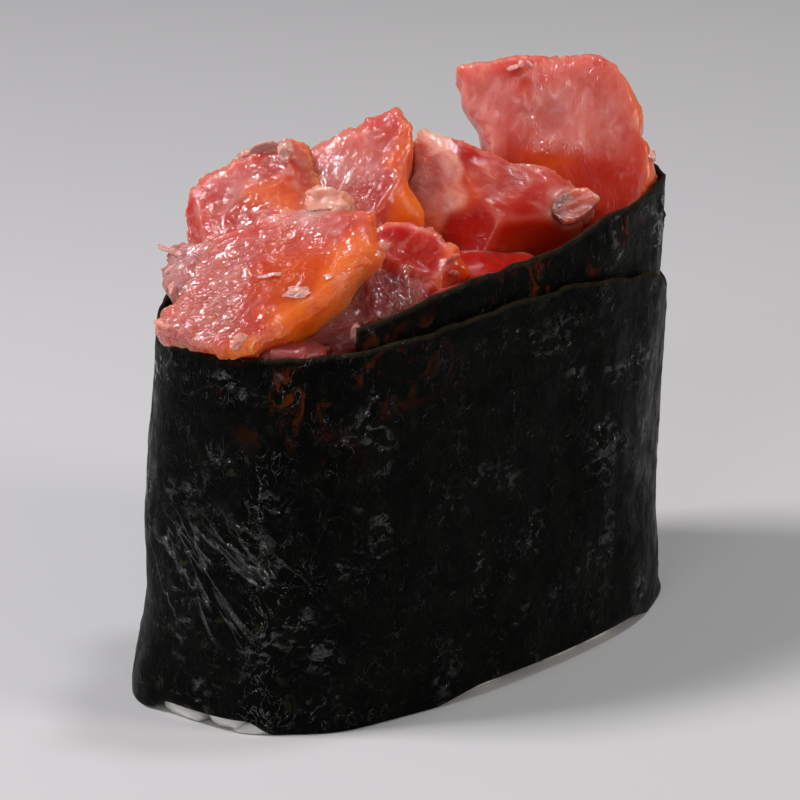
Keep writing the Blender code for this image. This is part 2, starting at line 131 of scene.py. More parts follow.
# Each piece of tuna: the middle of its seen face, the azimuth and elevation that it faces, the
# angle its fibres run at in that face, the size of its mesh cells and its kind. Here and below,
# the nodes and slots are named without the "tuna_" that they begin with.
PIECES = {
    "front_slab": ((-18.2, -3.2, 34.4), (-62, 48), 35, 0.105, "pink"),
    "fat_scrap": ((-11.6, -3.1, 38.9), (-55, 55), 10, 0.09, "fat"),
    "tall_slab": ((14.5, -4.3, 40.0), (-46, 30), 80, 0.15, "pink"),
    "back_middle": ((-0.8, 4.2, 38.5), (-50, 45), 60, 0.13, "pink"),
    "pale_wedge": ((11.2, -8.8, 35.9), (-40, 45), 20, 0.1, "fat"),
    "long_piece": ((6.5, -2.7, 35.0), (-42, 38), -30, 0.14, "red"),
    "back_left": ((-8.7, 8.3, 37.5), (-60, 40), 20, 0.13, "pink"),
    "small_red": ((-4.6, -5.5, 34.0), (-35, 48), 55, 0.12, "red"),
    "ribbed": ((-9.8, -6.8, 32.0), (-35, 58), 100, 0.11, "dark"),
    "frayed": ((-18.2, 4.6, 34.0), (-65, 50), 30, 0.11, "pink"),
    "under_slab": ((-15.0, -6.4, 30.6), (-40, 50), 20, 0.12, "dark"),
    "back_right": ((15.5, 5.6, 34.3), (150, 55), 30, 0.18, "pink"),
    "back_centre": ((3.6, 8.4, 33.4), (175, 50), 70, 0.18, "red"),
    "base_left": ((-16.0, 0.8, 30.0), (0, 90), 20, 0.27, "dark"),
    "base_front": ((-1.5, -7.4, 31.4), (0, 90), 60, 0.22, "red"),
    "base_back": ((-3.0, 5.5, 30.6), (0, 90), 10, 0.3, "dark"),
    "base_right": ((15.5, -0.8, 32.2), (0, 90), 40, 0.3, "red"),
}

# Painted places in a piece's own face frame: middle, half-sizes, softness and strength.
# Kinds of place: wrinkled, a painted amber glow, paler flesh in part painted sheen, painted shade.
WRINKLED, PAINTED_GLOW, PALE_AND_SHEEN, PAINTED_SHADE = range(4)
PLACES = {
    "front_slab": (
        (WRINKLED, -4.6, -1.0, 4.0, 4.8, 0.4, 1.0), (WRINKLED, -0.8, 4.6, 2.4, 2.0, 0.5, 0.8),
        (WRINKLED, 2.2, 6.6, 1.8, 1.4, 0.5, 0.5), (PAINTED_GLOW, 6.7, -0.2, 3.2, 5.6, 0.8, 1.0),
        (PAINTED_GLOW, 4.1, -3.7, 3.7, 2.9, 0.8, 1.0), (PAINTED_GLOW, 0.8, -6.2, 3.6, 1.8, 0.8, 0.9),
        (PAINTED_GLOW, 3.0, 0.8, 3.6, 3.4, 1.0, 0.4), (PALE_AND_SHEEN, 1.2, 7.2, 3.4, 2.0, 0.9, 0.7),
        (PALE_AND_SHEEN, -5.0, -1.0, 3.6, 4.4, 0.9, 0.5), (PAINTED_SHADE, 1.8, 0.6, 3.2, 3.2, 1.0, 0.75),
        (WRINKLED, 6.9, -0.6, 1.8, 5.0, 0.9, 0.7), (WRINKLED, 2.6, -5.2, 4.0, 1.6, 0.9, 0.7),
    ),
    "long_piece": (
        (PALE_AND_SHEEN, -3.6, 3.4, 2.4, 4.4, 0.5, 1.0), (WRINKLED, -4.8, 4.6, 0.9, 3.0, 0.8, 0.4),
        (PAINTED_GLOW, -1.5, 1.5, 1.4, 1.6, 1.2, 0.35), (PALE_AND_SHEEN, 7.4, 0.6, 2.4, 1.6, 0.9, 0.35),
        (PALE_AND_SHEEN, 2.6, 2.4, 5.0, 1.6, 1.0, 0.16), (PAINTED_SHADE, 1.5, -4.0, 10.0, 3.4, 0.6, 1.0),
        (PAINTED_SHADE, -4.2, -1.8, 1.8, 1.8, 0.8, 0.9), (PAINTED_GLOW, -4.0, -1.2, 1.6, 1.6, 0.9, 0.5),
    ),
    "back_middle": (
        (PAINTED_GLOW, 4.6, -3.3, 1.7, 2.6, 0.6, 1.0), (PAINTED_GLOW, 4.0, 2.4, 1.2, 3.6, 0.9, 0.5),
        (WRINKLED, 0.4, -1.9, 1.7, 1.9, 0.6, 0.8), (PALE_AND_SHEEN, -0.6, 1.2, 3.2, 3.4, 0.9, 0.55),
    ),
    "back_left": (
        (PAINTED_GLOW, 2.2, -0.4, 2.2, 1.6, 0.9, 0.7), (PALE_AND_SHEEN, -0.8, 0.6, 2.0, 1.8, 0.8, 0.5),
        (PALE_AND_SHEEN, 2.0, 4.2, 2.4, 1.2, 0.8, 0.4),
    ),
    "tall_slab": (
        (PALE_AND_SHEEN, -6.8, 2.4, 2.6, 4.4, 0.8, 0.5), (PALE_AND_SHEEN, 2.0, 5.4, 6.0, 1.4, 1.0, 0.3),
        (PALE_AND_SHEEN, 1.4, 1.6, 6.6, 3.0, 0.8, 0.42), (WRINKLED, -2.2, 2.4, 0.5, 2.6, 0.6, 0.5),
        (WRINKLED, -0.6, -1.4, 1.6, 0.7, 0.8, 0.5), (PAINTED_SHADE, -0.2, -4.8, 6.4, 3.4, 0.7, 1.0),
        (PAINTED_GLOW, -1.0, -2.6, 1.6, 1.2, 1.2, 0.35),
    ),
    "small_red": (
        (PAINTED_GLOW, 3.2, -1.4, 1.4, 2.2, 0.9, 0.55), (PAINTED_GLOW, 0.8, -3.4, 2.6, 1.2, 0.9, 0.4),
        (PAINTED_SHADE, -0.6, -0.8, 4.0, 2.4, 0.8, 0.5),
    ),
    "base_front": ((PAINTED_SHADE, 0.0, 0.0, 14.0, 14.0, 0.5, 1.0),),
    "ribbed": ((WRINKLED, 0.0, 0.0, 4.2, 4.2, 0.4, 1.0),),
    "frayed": ((WRINKLED, 0.0, 0.0, 3.0, 3.4, 0.5, 1.0), (PALE_AND_SHEEN, -1.4, -0.6, 1.8, 3.2, 0.7, 0.6)),
    "pale_wedge": ((PALE_AND_SHEEN, 0.0, 0.0, 4.0, 4.0, 0.4, 0.4), (WRINKLED, 0.0, 0.0, 4.0, 4.0, 0.2, 0.7)),
    "fat_scrap": ((WRINKLED, 1.4, 0.0, 1.2, 2.4, 0.5, 0.3), (PALE_AND_SHEEN, -1.4, 0.2, 1.6, 1.6, 0.8, 0.5)),
    "under_slab": ((WRINKLED, 1.5, 0.6, 1.8, 1.8, 0.6, 0.8), (PALE_AND_SHEEN, 0.6, -1.2, 1.4, 1.2, 0.9, 0.3)),
}

# Knife-flat faces, in the piece's own face frame: azimuth, elevation and distance.
FACETS = {
    "front_slab": ((30, 5, 4.3), (0, 90, 0.9), (-150, 30, 5.2), (60, 48, 4.2)),
    "long_piece": ((-61, 58, 1.3),),
    "back_middle": ((-120, 45, 3.3), (60, 40, 3.6), (0, 88, 1.3)),
    "back_left": ((-70, 45, 3.3), (0, 85, 0.9)),
    "tall_slab": ((0, 88, 0.9), (-60, 30, 6.0)),
    "small_red": ((-30, 62, 1.0), (60, 40, 2.4)),
    "fat_scrap": ((-70, 20, 1.6), (100, 30, 1.6)),
    "pale_wedge": ((0, 80, 0.1),),
}

# Places that swell out, in the piece's own face frame: middle, width and distance.
BULGES = {
    "back_middle": ((4.4, -3.4, 1.5, 0.9),),
    "front_slab": ((7.6, 4.4, 1.0, 0.7), (-7.2, -4.0, 0.9, 0.6), (-0.6, -5.4, 0.9, 0.5)),
    "small_red": ((3.0, -0.8, 0.8, 0.6),),
    "ribbed": ((2.2, 2.1, 0.45, 1.1),),
    "long_piece": ((1.5, -4.6, 2.6, 0.6), (-0.6, -4.4, 1.6, 0.5)),
    "tall_slab": ((7.1, 0.2, 0.6, -0.7),),
}

# Corners drawn out to a tip, in the piece's own face frame: where, width and how far right and up.
PULLS = {
    "front_slab": (
        (8.0, 4.6, 1.5, 1.1, -0.7), (-7.4, -4.2, 1.0, -0.5, 0.1), (-0.4, -6.2, 0.9, 0.1, -0.5),
    ),
    "small_red": ((3.2, -1.0, 1.0, 0.7, -0.2),),
    "long_piece": ((0.6, -5.0, 2.2, 0.0, -0.8),),
    "tall_slab": ((-8.6, 4.8, 1.4, 0.5, -0.2), (7.3, 0.1, 0.5, -0.7, 0.0)),
    "back_middle": ((3.1, 5.0, 1.2, 0.2, 0.4),),
}

# How chipped each piece is, where it isn't fully.
CHIPPED = {
    "front_slab": 0.5, "long_piece": 0.6, "tall_slab": 0.75, "fat_scrap": 0.3,
    "pale_wedge": 0.9,
}
# How smooth a knife left each piece, away from its wrinkled places.
SLEEK = {
    "tall_slab": 0.8, "long_piece": 0.8, "front_slab": 0.5, "small_red": 0.6,
    "base_front": 0.8, "back_middle": 0.3,
}
# Pieces that look unlike their kind.
LOOKS = {"frayed": "frosty", "pale_wedge": "pink"}

# Where the light comes from: edges turned away from it get a painted amber glow, and edges
# turned towards it are painted paler, a painted highlight.
LIGHT_FROM = np.array([-0.45, 0.63, 0.75])
LIGHT_FROM = LIGHT_FROM / np.linalg.norm(LIGHT_FROM)
# The share of what stands out beyond a knife-flat face that is cut away.
FACET_CUT = 0.85

# How far a piece swells past its solid.
SWELL = 0.12
BASE_SWELL = 0.5
SWELLS = {"pale_wedge": -0.05}
# How far out a place bends before it counts as an edge, and how far edges are drawn out again.
BROAD = 1.1
EDGE_FROM = 0.02
EDGE_FULL = 0.12
SHARPENED = 0.9
SHARPENED_MOST = 0.35
# How high the nori reaches and how near to it the tuna may come.
NORI_TOP = 37.5
WALL_GAP = 0.06
# How far apart the pieces stand in the noise, and how its chips are turned.
GRAIN_APART = 40.0
STIR = np.array([[0.8, 0.5, 0.33], [-0.6, 0.67, 0.44], [0.0, -0.55, 0.83]])
# How strong the painted amber glow is on the edges of each kind that turn from the light.
EDGE_PAINTED_GLOW = {"pink": 1.0, "red": 0.45, "dark": 0.25, "fat": 0.2}

# Small loose shreds on a piece, their kind, and for each in the piece's face frame: where, length,
# width, thickness, the angle it lies at in the face and how steeply it stands.
SHREDS = (
    ("front_slab", "fat", (
        (2.8, -0.9, 2.5, 1.2, 0.16, 22, 8), (4.6, 0.9, 1.5, 0.5, 0.12, 12, 4),
        (0.4, 0.9, 2.2, 0.35, 0.14, 18, 6),
    )),
    ("front_slab", "pink", (
        (-7.6, -4.4, 1.3, 0.8, 0.3, 160, 10), (8.3, 5.0, 1.4, 0.9, 0.3, 20, 15),
        (8.2, 3.6, 1.0, 0.5, 0.3, -30, 10), (-1.0, -5.9, 1.7, 0.9, 0.25, 60, 25),
    )),
    ("back_left", "fat", (
        (1.4, 4.0, 3.6, 1.3, 0.4, 12, 45), (3.0, 3.8, 2.0, 1.2, 0.5, 100, 30),
        (-0.8, 3.4, 1.2, 0.6, 0.3, 20, 20),
    )),
    ("tall_slab", "fat", (
        (-4.2, 5.8, 0.8, 0.5, 0.5, 20, 20), (-3.4, 6.2, 0.7, 0.5, 0.5, 80, 30),
        (-2.6, 6.3, 0.9, 0.4, 0.4, 140, 20), (7.6, -1.6, 1.0, 0.6, 0.4, 100, 20),
    )),
    ("frayed", "fat", (
        (-2.4, 1.2, 2.2, 0.8, 0.3, 165, 20), (-2.2, 0.0, 1.5, 0.6, 0.3, 30, 20),
        (-1.4, -2.6, 1.5, 0.9, 0.3, 100, 20),
    )),
    ("small_red", "red", (
        (3.3, -0.7, 1.4, 0.45, 0.2, 30, 10), (3.0, -1.9, 1.2, 0.4, 0.2, -20, 10),
    )),
    ("under_slab", "fat", ((1.9, -0.9, 1.5, 1.0, 0.6, 70, 20),)),
)
SHRED_RINGS = 12
SHRED_AROUND = 22
SHRED_SEED = 211
SHRED_DEPTH = 0.00015
FAT_SPREAD = (1.0, 0.62, 0.42)
SHRED_LOOKS = {
    "fat": ((0.76, 0.35, 0.28), (0.66, 0.24, 0.18), (0.88, 0.58, 0.52), (1.0, 0.45, 0.15)),
    "pink": ((0.66, 0.20, 0.13), (0.60, 0.12, 0.07), (0.80, 0.42, 0.33), (1.0, 0.30, 0.05)),
    "red": ((0.58, 0.08, 0.04), (0.50, 0.04, 0.02), (0.74, 0.28, 0.20), (1.0, 0.20, 0.03)),
}
# The fine strand: its piece, where, length, half-width and angle.
STRAND = ("fat_scrap", 1.0, 1.5, 1.9, 0.10, 62)
STRAND_RINGS = 15
STRAND_AROUND = 8

# The colours of flesh: its own; deep, also the painted shade; pale, also the painted sheen and
# highlight; and the amber of the painted glow where light would pass through edges; then how wet
# it is, how far light spreads in it in metres and how that differs for red, green and blue.
FLESH_LOOKS = {
    "pink": ((0.55, 0.075, 0.050), (0.44, 0.016, 0.006), (0.76, 0.38, 0.34), (1.0, 0.20, 0.004)),
    "red": ((0.44, 0.024, 0.011), (0.34, 0.004, 0.001), (0.86, 0.46, 0.38), (0.95, 0.16, 0.01)),
    "dark": ((0.34, 0.026, 0.023), (0.22, 0.008, 0.008), (0.62, 0.22, 0.21), (0.80, 0.12, 0.02)),
    "fat": (
        (0.66, 0.26, 0.19), (0.62, 0.18, 0.10), (0.80, 0.46, 0.38), (1.0, 0.36, 0.08),
        1.0, 0.0014, (1.0, 0.5, 0.3),
    ),
    "frosty": (
        (0.46, 0.11, 0.10), (0.36, 0.03, 0.025), (0.70, 0.43, 0.40), (0.90, 0.20, 0.06),
        1.0, 0.003,
    ),
}
NORI_BLACKS = ((0.0007, 0.0009, 0.0006), (0.0026, 0.0033, 0.0020))
NORI_GREEN = (0.022, 0.034, 0.012)
# The painted amber glow of tuna seen through thin nori.
NORI_GLOW = (0.10, 0.016, 0.002)
# A painted highlight along the sheet's top edge.
NORI_RIM_HIGHLIGHT = (0.022, 0.017, 0.008)
RICE_WHITES = ((0.80, 0.77, 0.70), (0.90, 0.88, 0.83))
RICE_SPREAD = (1.0, 0.9, 0.7)
FLOOR_GREYS = ((0.56, 0.56, 0.56), (0.60, 0.60, 0.595))

# The camera, fitted to the photograph: degrees, metres and millimetres.
CAMERA_AZIMUTH = -47.0
CAMERA_ELEVATION = 22.0
CAMERA_TILT = 2.72
CAMERA_DISTANCE = 0.4
CAMERA_LENS = 219.15
CAMERA_SENSOR = 36.0
# Soft lights: azimuth, elevation, distance and width in metres, watts and colour.
LIGHTS = (
    ("key", -131, 55, 0.42, 0.095, 1.36, (0.99, 0.96, 1.0)),
    ("top", 76, 77, 0.40, 0.055, 0.42, (0.95, 0.94, 1.0)),
    ("side", -122, 20, 0.45, 0.08, 0.22, (0.98, 0.97, 1.0)),
    ("rim", 24, 24, 0.5, 0.16, 0.9, (1.0, 0.95, 0.88)),
    ("fill", -66, 30, 0.6, 0.18, 0.45, (0.95, 0.97, 1.0)),
)
LIT_HEIGHT = 0.03
SURROUNDINGS = 0.07
FLOOR_HALF = 2.0
FLOOR_DROP = 0.00005


# ---------------- small helpers


def smooth(value):
    """Ease a value or an array from 0 to 1, level at both ends."""
    value = np.clip(value, 0.0, 1.0)
    return value * value * (3.0 - 2.0 * value)


def lattice(cell, seed):
    """Return a repeatable random value from -1 to 1 for each lattice cell."""
    mixed = (cell[:, 0] * 73856093) ^ (cell[:, 1] * 19349663) ^ (cell[:, 2] * 83492791)
    mixed = (mixed ^ (seed * 2654435)) & 0xFFFFFFFF
    mixed = ((mixed ^ (mixed >> 15)) * 2246822519) & 0xFFFFFFFF
    mixed = ((mixed ^ (mixed >> 13)) * 3266489917) & 0xFFFFFFFF
    mixed = mixed ^ (mixed >> 16)
    return mixed.astype(float) / 0x7FFFFFFF - 1.0


def noise(points, size, seed, crisp=False):
    """Return noise from about -1 to 1 at points, with bumps of a size, smooth or in flat chips."""
    scaled = points / np.asarray(size, float)
    cell = np.floor(scaled).astype(np.int64)
    share = scaled - cell
    ease = share if crisp else share * share * (3.0 - 2.0 * share)
    total = np.zeros(len(points))
    for corner in itertools.product((0, 1), repeat=3):
        weight = np.ones(len(points))
        for axis, side in enumerate(corner):
            weight = weight * (ease[:, axis] if side else 1.0 - ease[:, axis])
        total += weight * lattice(cell + np.array(corner), seed)
    return total


def layered(points, size, seed, layers=3, keep=0.5):
    """Add finer and finer noise together."""
    total = np.zeros(len(points))
    size = np.asarray(size, float)
    weight = 1.0
    for layer in range(layers):
        total += weight * noise(points + 31.7 * layer, size / 2**layer, seed + layer)
        weight *= keep
    return total


def stacked(*columns):
    """Return values side by side, where one value may stand for a whole column."""
    return np.stack(np.broadcast_arrays(*columns), axis=-1)


def hill(away, wide):
    """Return 1 at no distance, falling off over a width."""
    return np.exp(-((away / wide) ** 2))


def circle(count):
    """Return equal turns round a circle."""
    return np.linspace(0.0, 2.0 * math.pi, count, endpoint=False)


def vectors(data, name):
    """Return a vector of each vertex as an array."""
    found = np.zeros(len(data) * 3)
    data.foreach_get(name, found)
    return found.reshape(-1, 3)


def coordinates(mesh):
    """Return a mesh's vertices as an array."""
    return vectors(mesh.vertices, "co")


def put_coordinates(mesh, points):
    """Write an array back as a mesh's vertices."""
    mesh.vertices.foreach_set("co", points.reshape(-1))
    mesh.update()


def neighbours(mesh):
    """Return each edge's two vertices and how many edges each vertex has."""
    ends = np.zeros(len(mesh.edges) * 2, dtype=np.int64)
    mesh.edges.foreach_get("vertices", ends)
    ends = ends.reshape(-1, 2)
    counts = np.bincount(ends.reshape(-1), minlength=len(mesh.vertices)).astype(float)
    return ends, np.maximum(counts, 1.0)


def relaxed(points, ends, counts, times, strength=0.5):
    """Smooth values over a mesh by moving each towards its neighbours' mean."""
    points = points.copy()
    for _ in range(times):
        for axis in range(points.shape[1]):
            column = points[:, axis]
            near = np.bincount(ends[:, 0], column[ends[:, 1]], len(points))
            near += np.bincount(ends[:, 1], column[ends[:, 0]], len(points))
            points[:, axis] = column + strength * (near / counts - column)
    return points


def write_attribute(mesh, name, values):
    """Keep a vector for each vertex under a name that a material can read."""
    made = mesh.attributes.new(name, "FLOAT_VECTOR", "POINT")
    made.data.foreach_set("vector", np.ascontiguousarray(values, dtype=np.float32).reshape(-1))


def added(name, data):
    """Add an object for a mesh, a light or a camera to the scene."""
    made = bpy.data.objects.new(name, data)
    bpy.context.scene.collection.objects.link(made)
    return made


def new_object(name, mesh, material):
    """Add an object for a mesh to the scene, shaded smooth."""
    mesh.materials.clear()
    mesh.materials.append(material)
    mesh.polygons.foreach_set("use_smooth", [True] * len(mesh.polygons))
    return added(name, mesh)


def mesh_from(name, points, faces):
    """Make a mesh from points in metres and faces."""
    mesh = bpy.data.meshes.new(name)
    mesh.from_pydata(points.tolist(), [], faces)
    mesh.update()
    return mesh


def quads(index):
    """Return the faces of a grid of vertex numbers."""
    corners = (index[:-1, :-1], index[:-1, 1:], index[1:, 1:], index[1:, :-1])
    return np.stack(corners, axis=-1).reshape(-1, 4)


def tube(rings, around):
    """Return the faces of closed rings of vertices that follow one another."""
    index = np.arange(rings * around).reshape(rings, around)
    return quads(np.concatenate([index, index[:, :1]], axis=1))


def facing_axes(azimuth, elevation):
    """Return the right, up and outward directions of a face seen square on."""
    turn, lift = math.radians(azimuth), math.radians(elevation)
    level = math.cos(lift)
    outward = np.array([math.sin(turn) * level, -math.cos(turn) * level, math.sin(lift)])
    right = np.array([math.cos(turn), math.sin(turn), 0.0])
    return np.array([right, np.cross(outward, right), outward])


def turned(axes, heading):
    """Return a face's right and up directions, or values along them, turned in the face."""
    run = math.radians(heading)
    along = axes[0] * math.cos(run) + axes[1] * math.sin(run)
    return along, axes[1] * math.cos(run) - axes[0] * math.sin(run)


# ---------------- material kit


class Shader:
    """A small helper that wires nodes in one material."""

    def __init__(self, name):
        self.material = bpy.data.materials.new(name)
        self.material.use_nodes = True
        self.tree = self.material.node_tree
        self.principled = self.tree.nodes["Principled BSDF"]

    def fill(self, node, values):
        """Link each value to the input of its name or number, or write it there."""
        for key, value in values.items():
            if isinstance(value, bpy.types.NodeSocket):
                self.tree.links.new(value, node.inputs[key])
            else:
                node.inputs[key].default_value = value

    def add(self, kind, output, inputs, **settings):
        """Add a node, set its properties and then its inputs, and return one output."""
        made = self.tree.nodes.new(kind)
        for key, value in settings.items():
            setattr(made, key, value)
        self.fill(made, inputs)
        return made.outputs[output]

    def attribute(self, name):
        """Return the vector kept on the mesh under a name."""
        return self.add("ShaderNodeAttribute", "Vector", {}, attribute_name=name)

    def noise(self, vector, scale, detail=3.0, rough=0.5, distortion=0.0):
        """Return a noise texture's value, at one scale or at one for each axis."""
        if isinstance(scale, tuple):
            stretched = {"Vector": vector, "Scale": scale}
            vector, scale = self.add("ShaderNodeMapping", "Vector", stretched), 1.0
        inputs = {"Vector": vector, "Scale": scale, "Detail": detail, "Roughness": rough}
        inputs["Distortion"] = distortion
        return self.add("ShaderNodeTexNoise", "Fac", inputs)

    def ramp(self, value, low, high, to_low=0.0, to_high=1.0):
        """Map a range of a value smoothly onto another."""
        inputs = {"Value": value, "From Min": low, "From Max": high}
        inputs.update({"To Min": to_low, "To Max": to_high})
        return self.add("ShaderNodeMapRange", "Result", inputs, interpolation_type="SMOOTHSTEP")

    def maths(self, operation, first, second):
        """Return one sum of two values."""
        return self.add("ShaderNodeMath", "Value", {0: first, 1: second}, operation=operation)

    def times(self, first, second):
        """Return two values multiplied."""
        return self.maths("MULTIPLY", first, second)

    def ridges(self, value, width):
        """Return lines of a width where a noise crosses its middle."""
        away = self.maths("ABSOLUTE", self.maths("SUBTRACT", value, 0.5), 0.0)
        return self.ramp(away, 0.0, width, 1.0, 0.0)

    def mix(self, share, first, second):
        """Return a mix of two colours."""
        pair = [(*value, 1.0) if isinstance(value, tuple) else value for value in (first, second)]
        inputs = {"Factor": share, "A": pair[0], "B": pair[1]}
        return self.add("ShaderNodeMix", "Result", inputs, data_type="RGBA")

    def split(self, vector):
        """Return a vector's three parts."""
        made = self.tree.nodes.new("ShaderNodeSeparateXYZ")
        self.fill(made, {"Vector": vector})
        return made.outputs[:3]

    def bump(self, height, distance, strength=1.0, normal=None):
        """Return a normal with relief."""
        inputs = {"Height": height, "Distance": distance, "Strength": strength}
        if normal is not None:
            inputs["Normal"] = normal
        return self.add("ShaderNodeBump", "Normal", inputs)

    def set(self, **values):
        """Set or link the shader's own sockets."""
        self.fill(self.principled, {key.replace("_", " "): values[key] for key in values})


def flesh_material(name, main, deep, pale, edge, wet=0.9, depth=0.006, spread=(1.0, 0.34, 0.11)):
    """Wet raw tuna: cloudy and streaked along its fibres, beaded wet, with a painted orange glow
    where light would pass through.

    The mesh keeps "grain", millimetres along, across and out of the fibres, "tone", how
    wrinkled each place is, how strong its painted glow is and how pale it is, in part paler flesh
    and in part a painted highlight and sheen, and "depth", how deep the painted shade is, how torn
    and how sleek each place is.
    """
    made = Shader(name)
    grain = made.attribute("grain")
    wrinkled, painted_glow, light = made.split(made.attribute("tone"))
    shade_mask, torn, sleek = made.split(made.attribute("depth"))
    streaks = made.noise(grain, (0.16, 0.55, 0.5), 4.0, 0.6, 0.8)
    clouds = made.noise(grain, 0.25, 3.0, 0.5, 0.4)
    mottle = made.noise(grain, (0.7, 1.1, 1.0), 4.0, 0.65, 0.5)
    colour = made.mix(made.ramp(clouds, 0.35, 0.65), deep, main)
    colour = made.mix(made.ramp(streaks, 0.5, 0.8, 0.0, 0.3), colour, pale)
    colour = made.mix(made.ramp(mottle, 0.5, 0.75, 0.0, 0.3), colour, pale)
    # Painted shade: the deep colour low down and in the shaded places.
    colour = made.mix(made.times(shade_mask, 0.9), colour, deep)
    # Painted highlight and sheen: paler on lit edges and hazy faces, and paler flesh in places.
    colour = made.mix(made.times(light, made.ramp(mottle, 0.3, 0.6, 0.6, 1.0)), colour, pale)
    # Painted glow: amber where light would pass through thin edges.
    colour = made.mix(made.times(painted_glow, made.ramp(mottle, 0.3, 0.7, 1.0, 0.7)), colour, edge)
    worms = made.ridges(made.noise(grain, (0.75, 1.5, 1.3), 2.0, 0.5, 0.8), 0.07)
    worms = made.times(worms, wrinkled)
    crumbs = made.noise(grain, (1.6, 2.6, 2.4), 2.0, 0.6, 1.0)
    crumbs = made.times(crumbs, made.maths("ADD", made.times(wrinkled, 0.5), torn))
    scratch = made.noise(grain, (0.8, 2.2, 1.8), 1.0, 0.5, 1.6)
    rough = made.maths("SUBTRACT", 1.0, made.times(sleek, 0.8))
    scratch = made.times(made.ramp(scratch, 0.64, 0.72), made.ramp(sleek, 0.0, 1.0, 1.0, 0.6))
    soft = made.times(made.noise(grain, (1.0, 1.5, 1.4), 3.0, 0.6, 0.4), rough)
    relief = made.bump(worms, 0.0002, 0.7)
    relief = made.bump(crumbs, 0.0001, 0.5, relief)
    relief = made.bump(soft, 0.0001, 0.4, relief)
    wet_skin = made.bump(worms, 0.0002, 1.0)
    wet_skin = made.bump(crumbs, 0.0001, 0.8, wet_skin)
    wet_skin = made.bump(scratch, 0.00014, 1.0, wet_skin)
    wet_skin = made.bump(soft, 0.00035, 0.8, wet_skin)
    haze = made.ramp(made.noise(grain, 0.8, 3.0, 0.6), 0.35, 0.7, 0.36, 0.52)
    haze = made.times(haze, made.ramp(shade_mask, 0.0, 0.9, 1.0, 0.45))
    made.set(Base_Color=colour, Roughness=haze, Normal=relief, Coat_Normal=wet_skin)
    beading = made.noise(grain, (0.7, 1.0, 1.0), 2.0, 0.5, 0.5)
    film = made.ramp(beading, 0.42, 0.6, 0.4 * wet, wet)
    film = made.times(film, made.ramp(painted_glow, 0.2, 0.9, 1.0, 0.45))
    film = made.times(film, made.ramp(sleek, 0.0, 1.0, 1.0, 0.4))
    film = made.times(film, made.ramp(shade_mask, 0.1, 0.9, 1.0, 0.2))
    film = made.maths("MAXIMUM", film, wrinkled)
    made.set(Subsurface_Weight=1.0, Subsurface_Scale=depth, Coat_Weight=film, Coat_Roughness=0.09)
    made.set(IOR=1.45, Specular_IOR_Level=0.15, Coat_IOR=2.0, Subsurface_Radius=spread)
    return made.material


def nori_material():
    """Roasted seaweed: near black, pressed fibres, oily glints, green flecks and a painted orange
    glow where tuna would show through thin nori.

    The mesh keeps "sheet", millimetres round and up, "slant", the same on the diagonals, "tone",
    how strong the painted glow, how flecked and how shiny each place is, and "rim", how strong
    the painted highlight along the top edge is and how smeared each place is.
    """
    made = Shader("nori_pressed")
    place = made.attribute("sheet")
    glow, fleck, shine = made.split(made.attribute("tone"))
    laver = made.noise(place, (0.55, 0.38, 0.55), 6.0, 0.65, 1.2)
    flakes = made.noise(place, 0.35, 4.0, 0.6, 1.0)
    specks = made.noise(place, (0.75, 0.6, 0.75), 5.0, 0.7, 0.8)
    lines = made.ridges(made.noise(place, (0.55, 0.38, 0.55), 3.0, 0.55, 1.6), 0.022)
    colour = made.mix(made.ramp(flakes, 0.4, 0.7), *NORI_BLACKS)
    green = made.times(made.ramp(specks, 0.57, 0.72, 0.0, 0.8), fleck)
    colour = made.mix(green, colour, NORI_GREEN)
    # Painted glow: amber patches where tuna would show through the nori.
    glow_share = made.times(made.ramp(laver, 0.50, 0.62), glow)
    colour = made.mix(glow_share, colour, NORI_GLOW)
    rim, smeared, _ = made.split(made.attribute("rim"))
    streaks = made.noise(made.attribute("slant"), (0.07, 0.26, 0.5), 3.0, 0.55, 0.5)
    streaks = made.ridges(streaks, 0.04)
    streaks = made.times(streaks, made.ramp(smeared, 0.1, 0.6))
    # Painted highlight: paler along the sheet's top edge.
    colour = made.mix(made.times(rim, made.ramp(specks, 0.3, 0.6, 0.3, 1.0)), colour, NORI_RIM_HIGHLIGHT)
    relief = made.bump(laver, 0.0004, 0.5)
    relief = made.bump(made.noise(place, 2.2, 3.0, 0.6, 0.8), 0.0001, 0.5, relief)
    relief = made.bump(lines, 0.00008, 0.5, relief)
    gloss = made.ramp(made.noise(place, 0.5, 4.0, 0.6), 0.35, 0.65, 0.26, 0.5)
    clumps = made.ramp(made.noise(place, 0.2, 2.0, 0.5), 0.54, 0.66)
    blots = made.ramp(made.noise(place, (0.9, 1.3, 0.9), 2.0, 0.5, 0.5), 0.50, 0.62)
    oily = made.times(made.times(blots, clumps), shine)
    patchy = made.ramp(made.noise(place, 0.3, 2.0, 0.5), 0.45, 0.6, 0.1, 0.7)
    oily = made.maths("MAXIMUM", oily, made.times(made.times(lines, patchy), shine))
    oily = made.maths("MAXIMUM", oily, streaks)
    oily = made.maths("ADD", oily, 0.015)
    oil_skin = made.bump(made.noise(place, (0.75, 0.6, 0.75), 2.0, 0.5, 1.0), 0.0012, 1.0)
    oil_skin = made.bump(made.noise(place, 3.0, 2.0, 0.5, 1.0), 0.0001, 0.6, oil_skin)
    oil_skin = made.bump(lines, 0.0002, 0.8, oil_skin)
    oil_skin = made.bump(streaks, 0.0004, 1.0, oil_skin)
    made.set(Base_Color=colour, Roughness=gloss, Normal=relief, Coat_Normal=oil_skin)
    made.set(IOR=1.45, Specular_IOR_Level=0.03, Coat_Weight=oily, Coat_Roughness=0.15, Coat_IOR=1.7)
    return made.material


